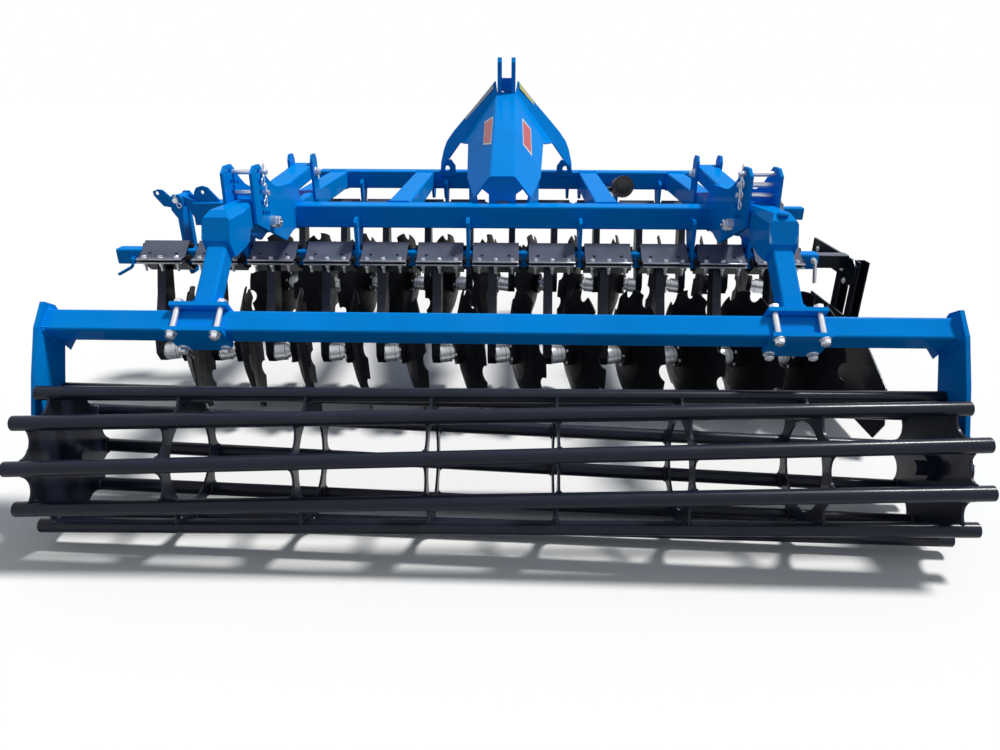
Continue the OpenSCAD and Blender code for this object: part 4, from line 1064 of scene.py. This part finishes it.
# Document tube's label, ribs and lid
# A plain yellow label wraps the moulded tube. The black screw cap has grip ribs round it and a flat
# lid on its end.
TUBE_LEAN = math.radians(80)
TUBE_AXIS = np.array([0, -math.sin(TUBE_LEAN), math.cos(TUBE_LEAN)])
TUBE_START = np.array([0.645, REAR_Y + 0.930, FRAME_Z - 0.018])
LABEL_ROUND = np.linspace(0.8, 2.3, 24)
LABEL_REACH = np.array([0.085, 0.165])
LABEL_RADII = (0.0498, 0.0508)
RIBS = 20
RIBS_R = 0.0565
RIBS_AT = 0.176
RIB = [(0, 0.0015), (0.002, 0.0028), (0.030, 0.0028), (0.033, 0.0015)]
LID_AT = 0.2148
LID = [(0, 0.040), (0.003, 0.039), (0.004, 0.036)]
tube_side = np.cross(TUBE_AXIS, X)
shell = []
for radius in LABEL_RADII:
    rim = radius * (np.cos(LABEL_ROUND)[:, None] * X + np.sin(LABEL_ROUND)[:, None] * tube_side)
    shell.append(TUBE_START + rim[:, None, :] + LABEL_REACH[None, :, None] * TUBE_AXIS)
sheet = np.concatenate([shell[0], shell[1][:, ::-1]], axis=1)
surface("tube_label", [sheet], yellow_film, "frame")
places = circle(TUBE_START + RIBS_AT * TUBE_AXIS, X, tube_side, RIBS_R, RIBS)
surface("tube_ribs", [turned(places, TUBE_AXIS, RIB, 8)], black_plastic, "frame")
lid = turned(TUBE_START + LID_AT * TUBE_AXIS, TUBE_AXIS, LID, 32)
surface("tube_lid", [lid], black_plastic, "frame")

# Shield bolts
# Round-headed zinc bolts hold the bracket, its posts and the plate of the side shield together. Hexagon
# heads show on the plate's outer face.
SHIELD_X = 1.548
SHIELD_OUT = 0.054
BEAM_Y = HUB_Y["rear"] + BEAM_AHEAD
INNER_BOLTS = ((0.014, -0.039), (-0.027, -0.085), (0.300, -0.020), (0.300, -0.050))  # ahead, up
OUTER_BOLTS = ((-0.093, -0.020), (-0.093, -0.062), (0.055, -0.200), (-0.093, -0.200))
SHIELD_WASHER_R = 0.0135
SHIELD_WASHER_T = 0.002
SHIELD_HEX_R = 0.0105
SHIELD_HEX_H = 0.008
SHIELD_HEX_TURN = 0.3
DOME = [(0, 0.011), (0.003, 0.0105), (0.006, 0.008), (0.0078, 0.004)]
places = np.array([(SHIELD_X, BEAM_Y + ahead, BEAM_Z + up) for ahead, up in INNER_BOLTS])
grids = [washers(places, -X, SHIELD_WASHER_R, SHIELD_WASHER_T, 18),
         turned(places - SHIELD_WASHER_T * X, -X, DOME, 16)]
places = np.array([(SHIELD_X + SHIELD_OUT, BEAM_Y + ahead, BEAM_Z + up) for ahead, up in OUTER_BOLTS])
grids.append(washers(places, X, SHIELD_WASHER_R, SHIELD_WASHER_T, 18))
seat = places + SHIELD_WASHER_T * X
grids.append(hexagons(seat, X, SHIELD_HEX_R, SHIELD_HEX_H, SHIELD_HEX_TURN))
surface("shield_bolts", grids, zinc, "side_shield")

# Clamp lever at the left end of the rear disc beam
# A square-headed clamp screw with a long blue lever, for the shield that this end can also take.
LEVER_R = 0.007
LEVER_STEP = 0.006
LEVER = (  # across the machine, then ahead and up from the beam's middle
    (-1.679, -0.056, -0.014), (-1.676, -0.058, -0.030), (-1.684, -0.060, -0.042), (-1.746, -0.066, -0.074))
SCREW_AT = (-1.679, BEAM_Y - 0.034, BEAM_Z - 0.010)
SCREW = [(0, 0.016), (0.010, 0.016), (0.012, 0.009), (0.026, 0.009)]
lever, = resample(np.array([(x, BEAM_Y + ahead, BEAM_Z + up) for x, ahead, up in LEVER]), LEVER_STEP)
grids = [swept(lever, Y, LEVER_R, 12), turned(SCREW_AT, -Y, SCREW, 20)]
surface("left_clamp_lever", grids, blue, "frame")
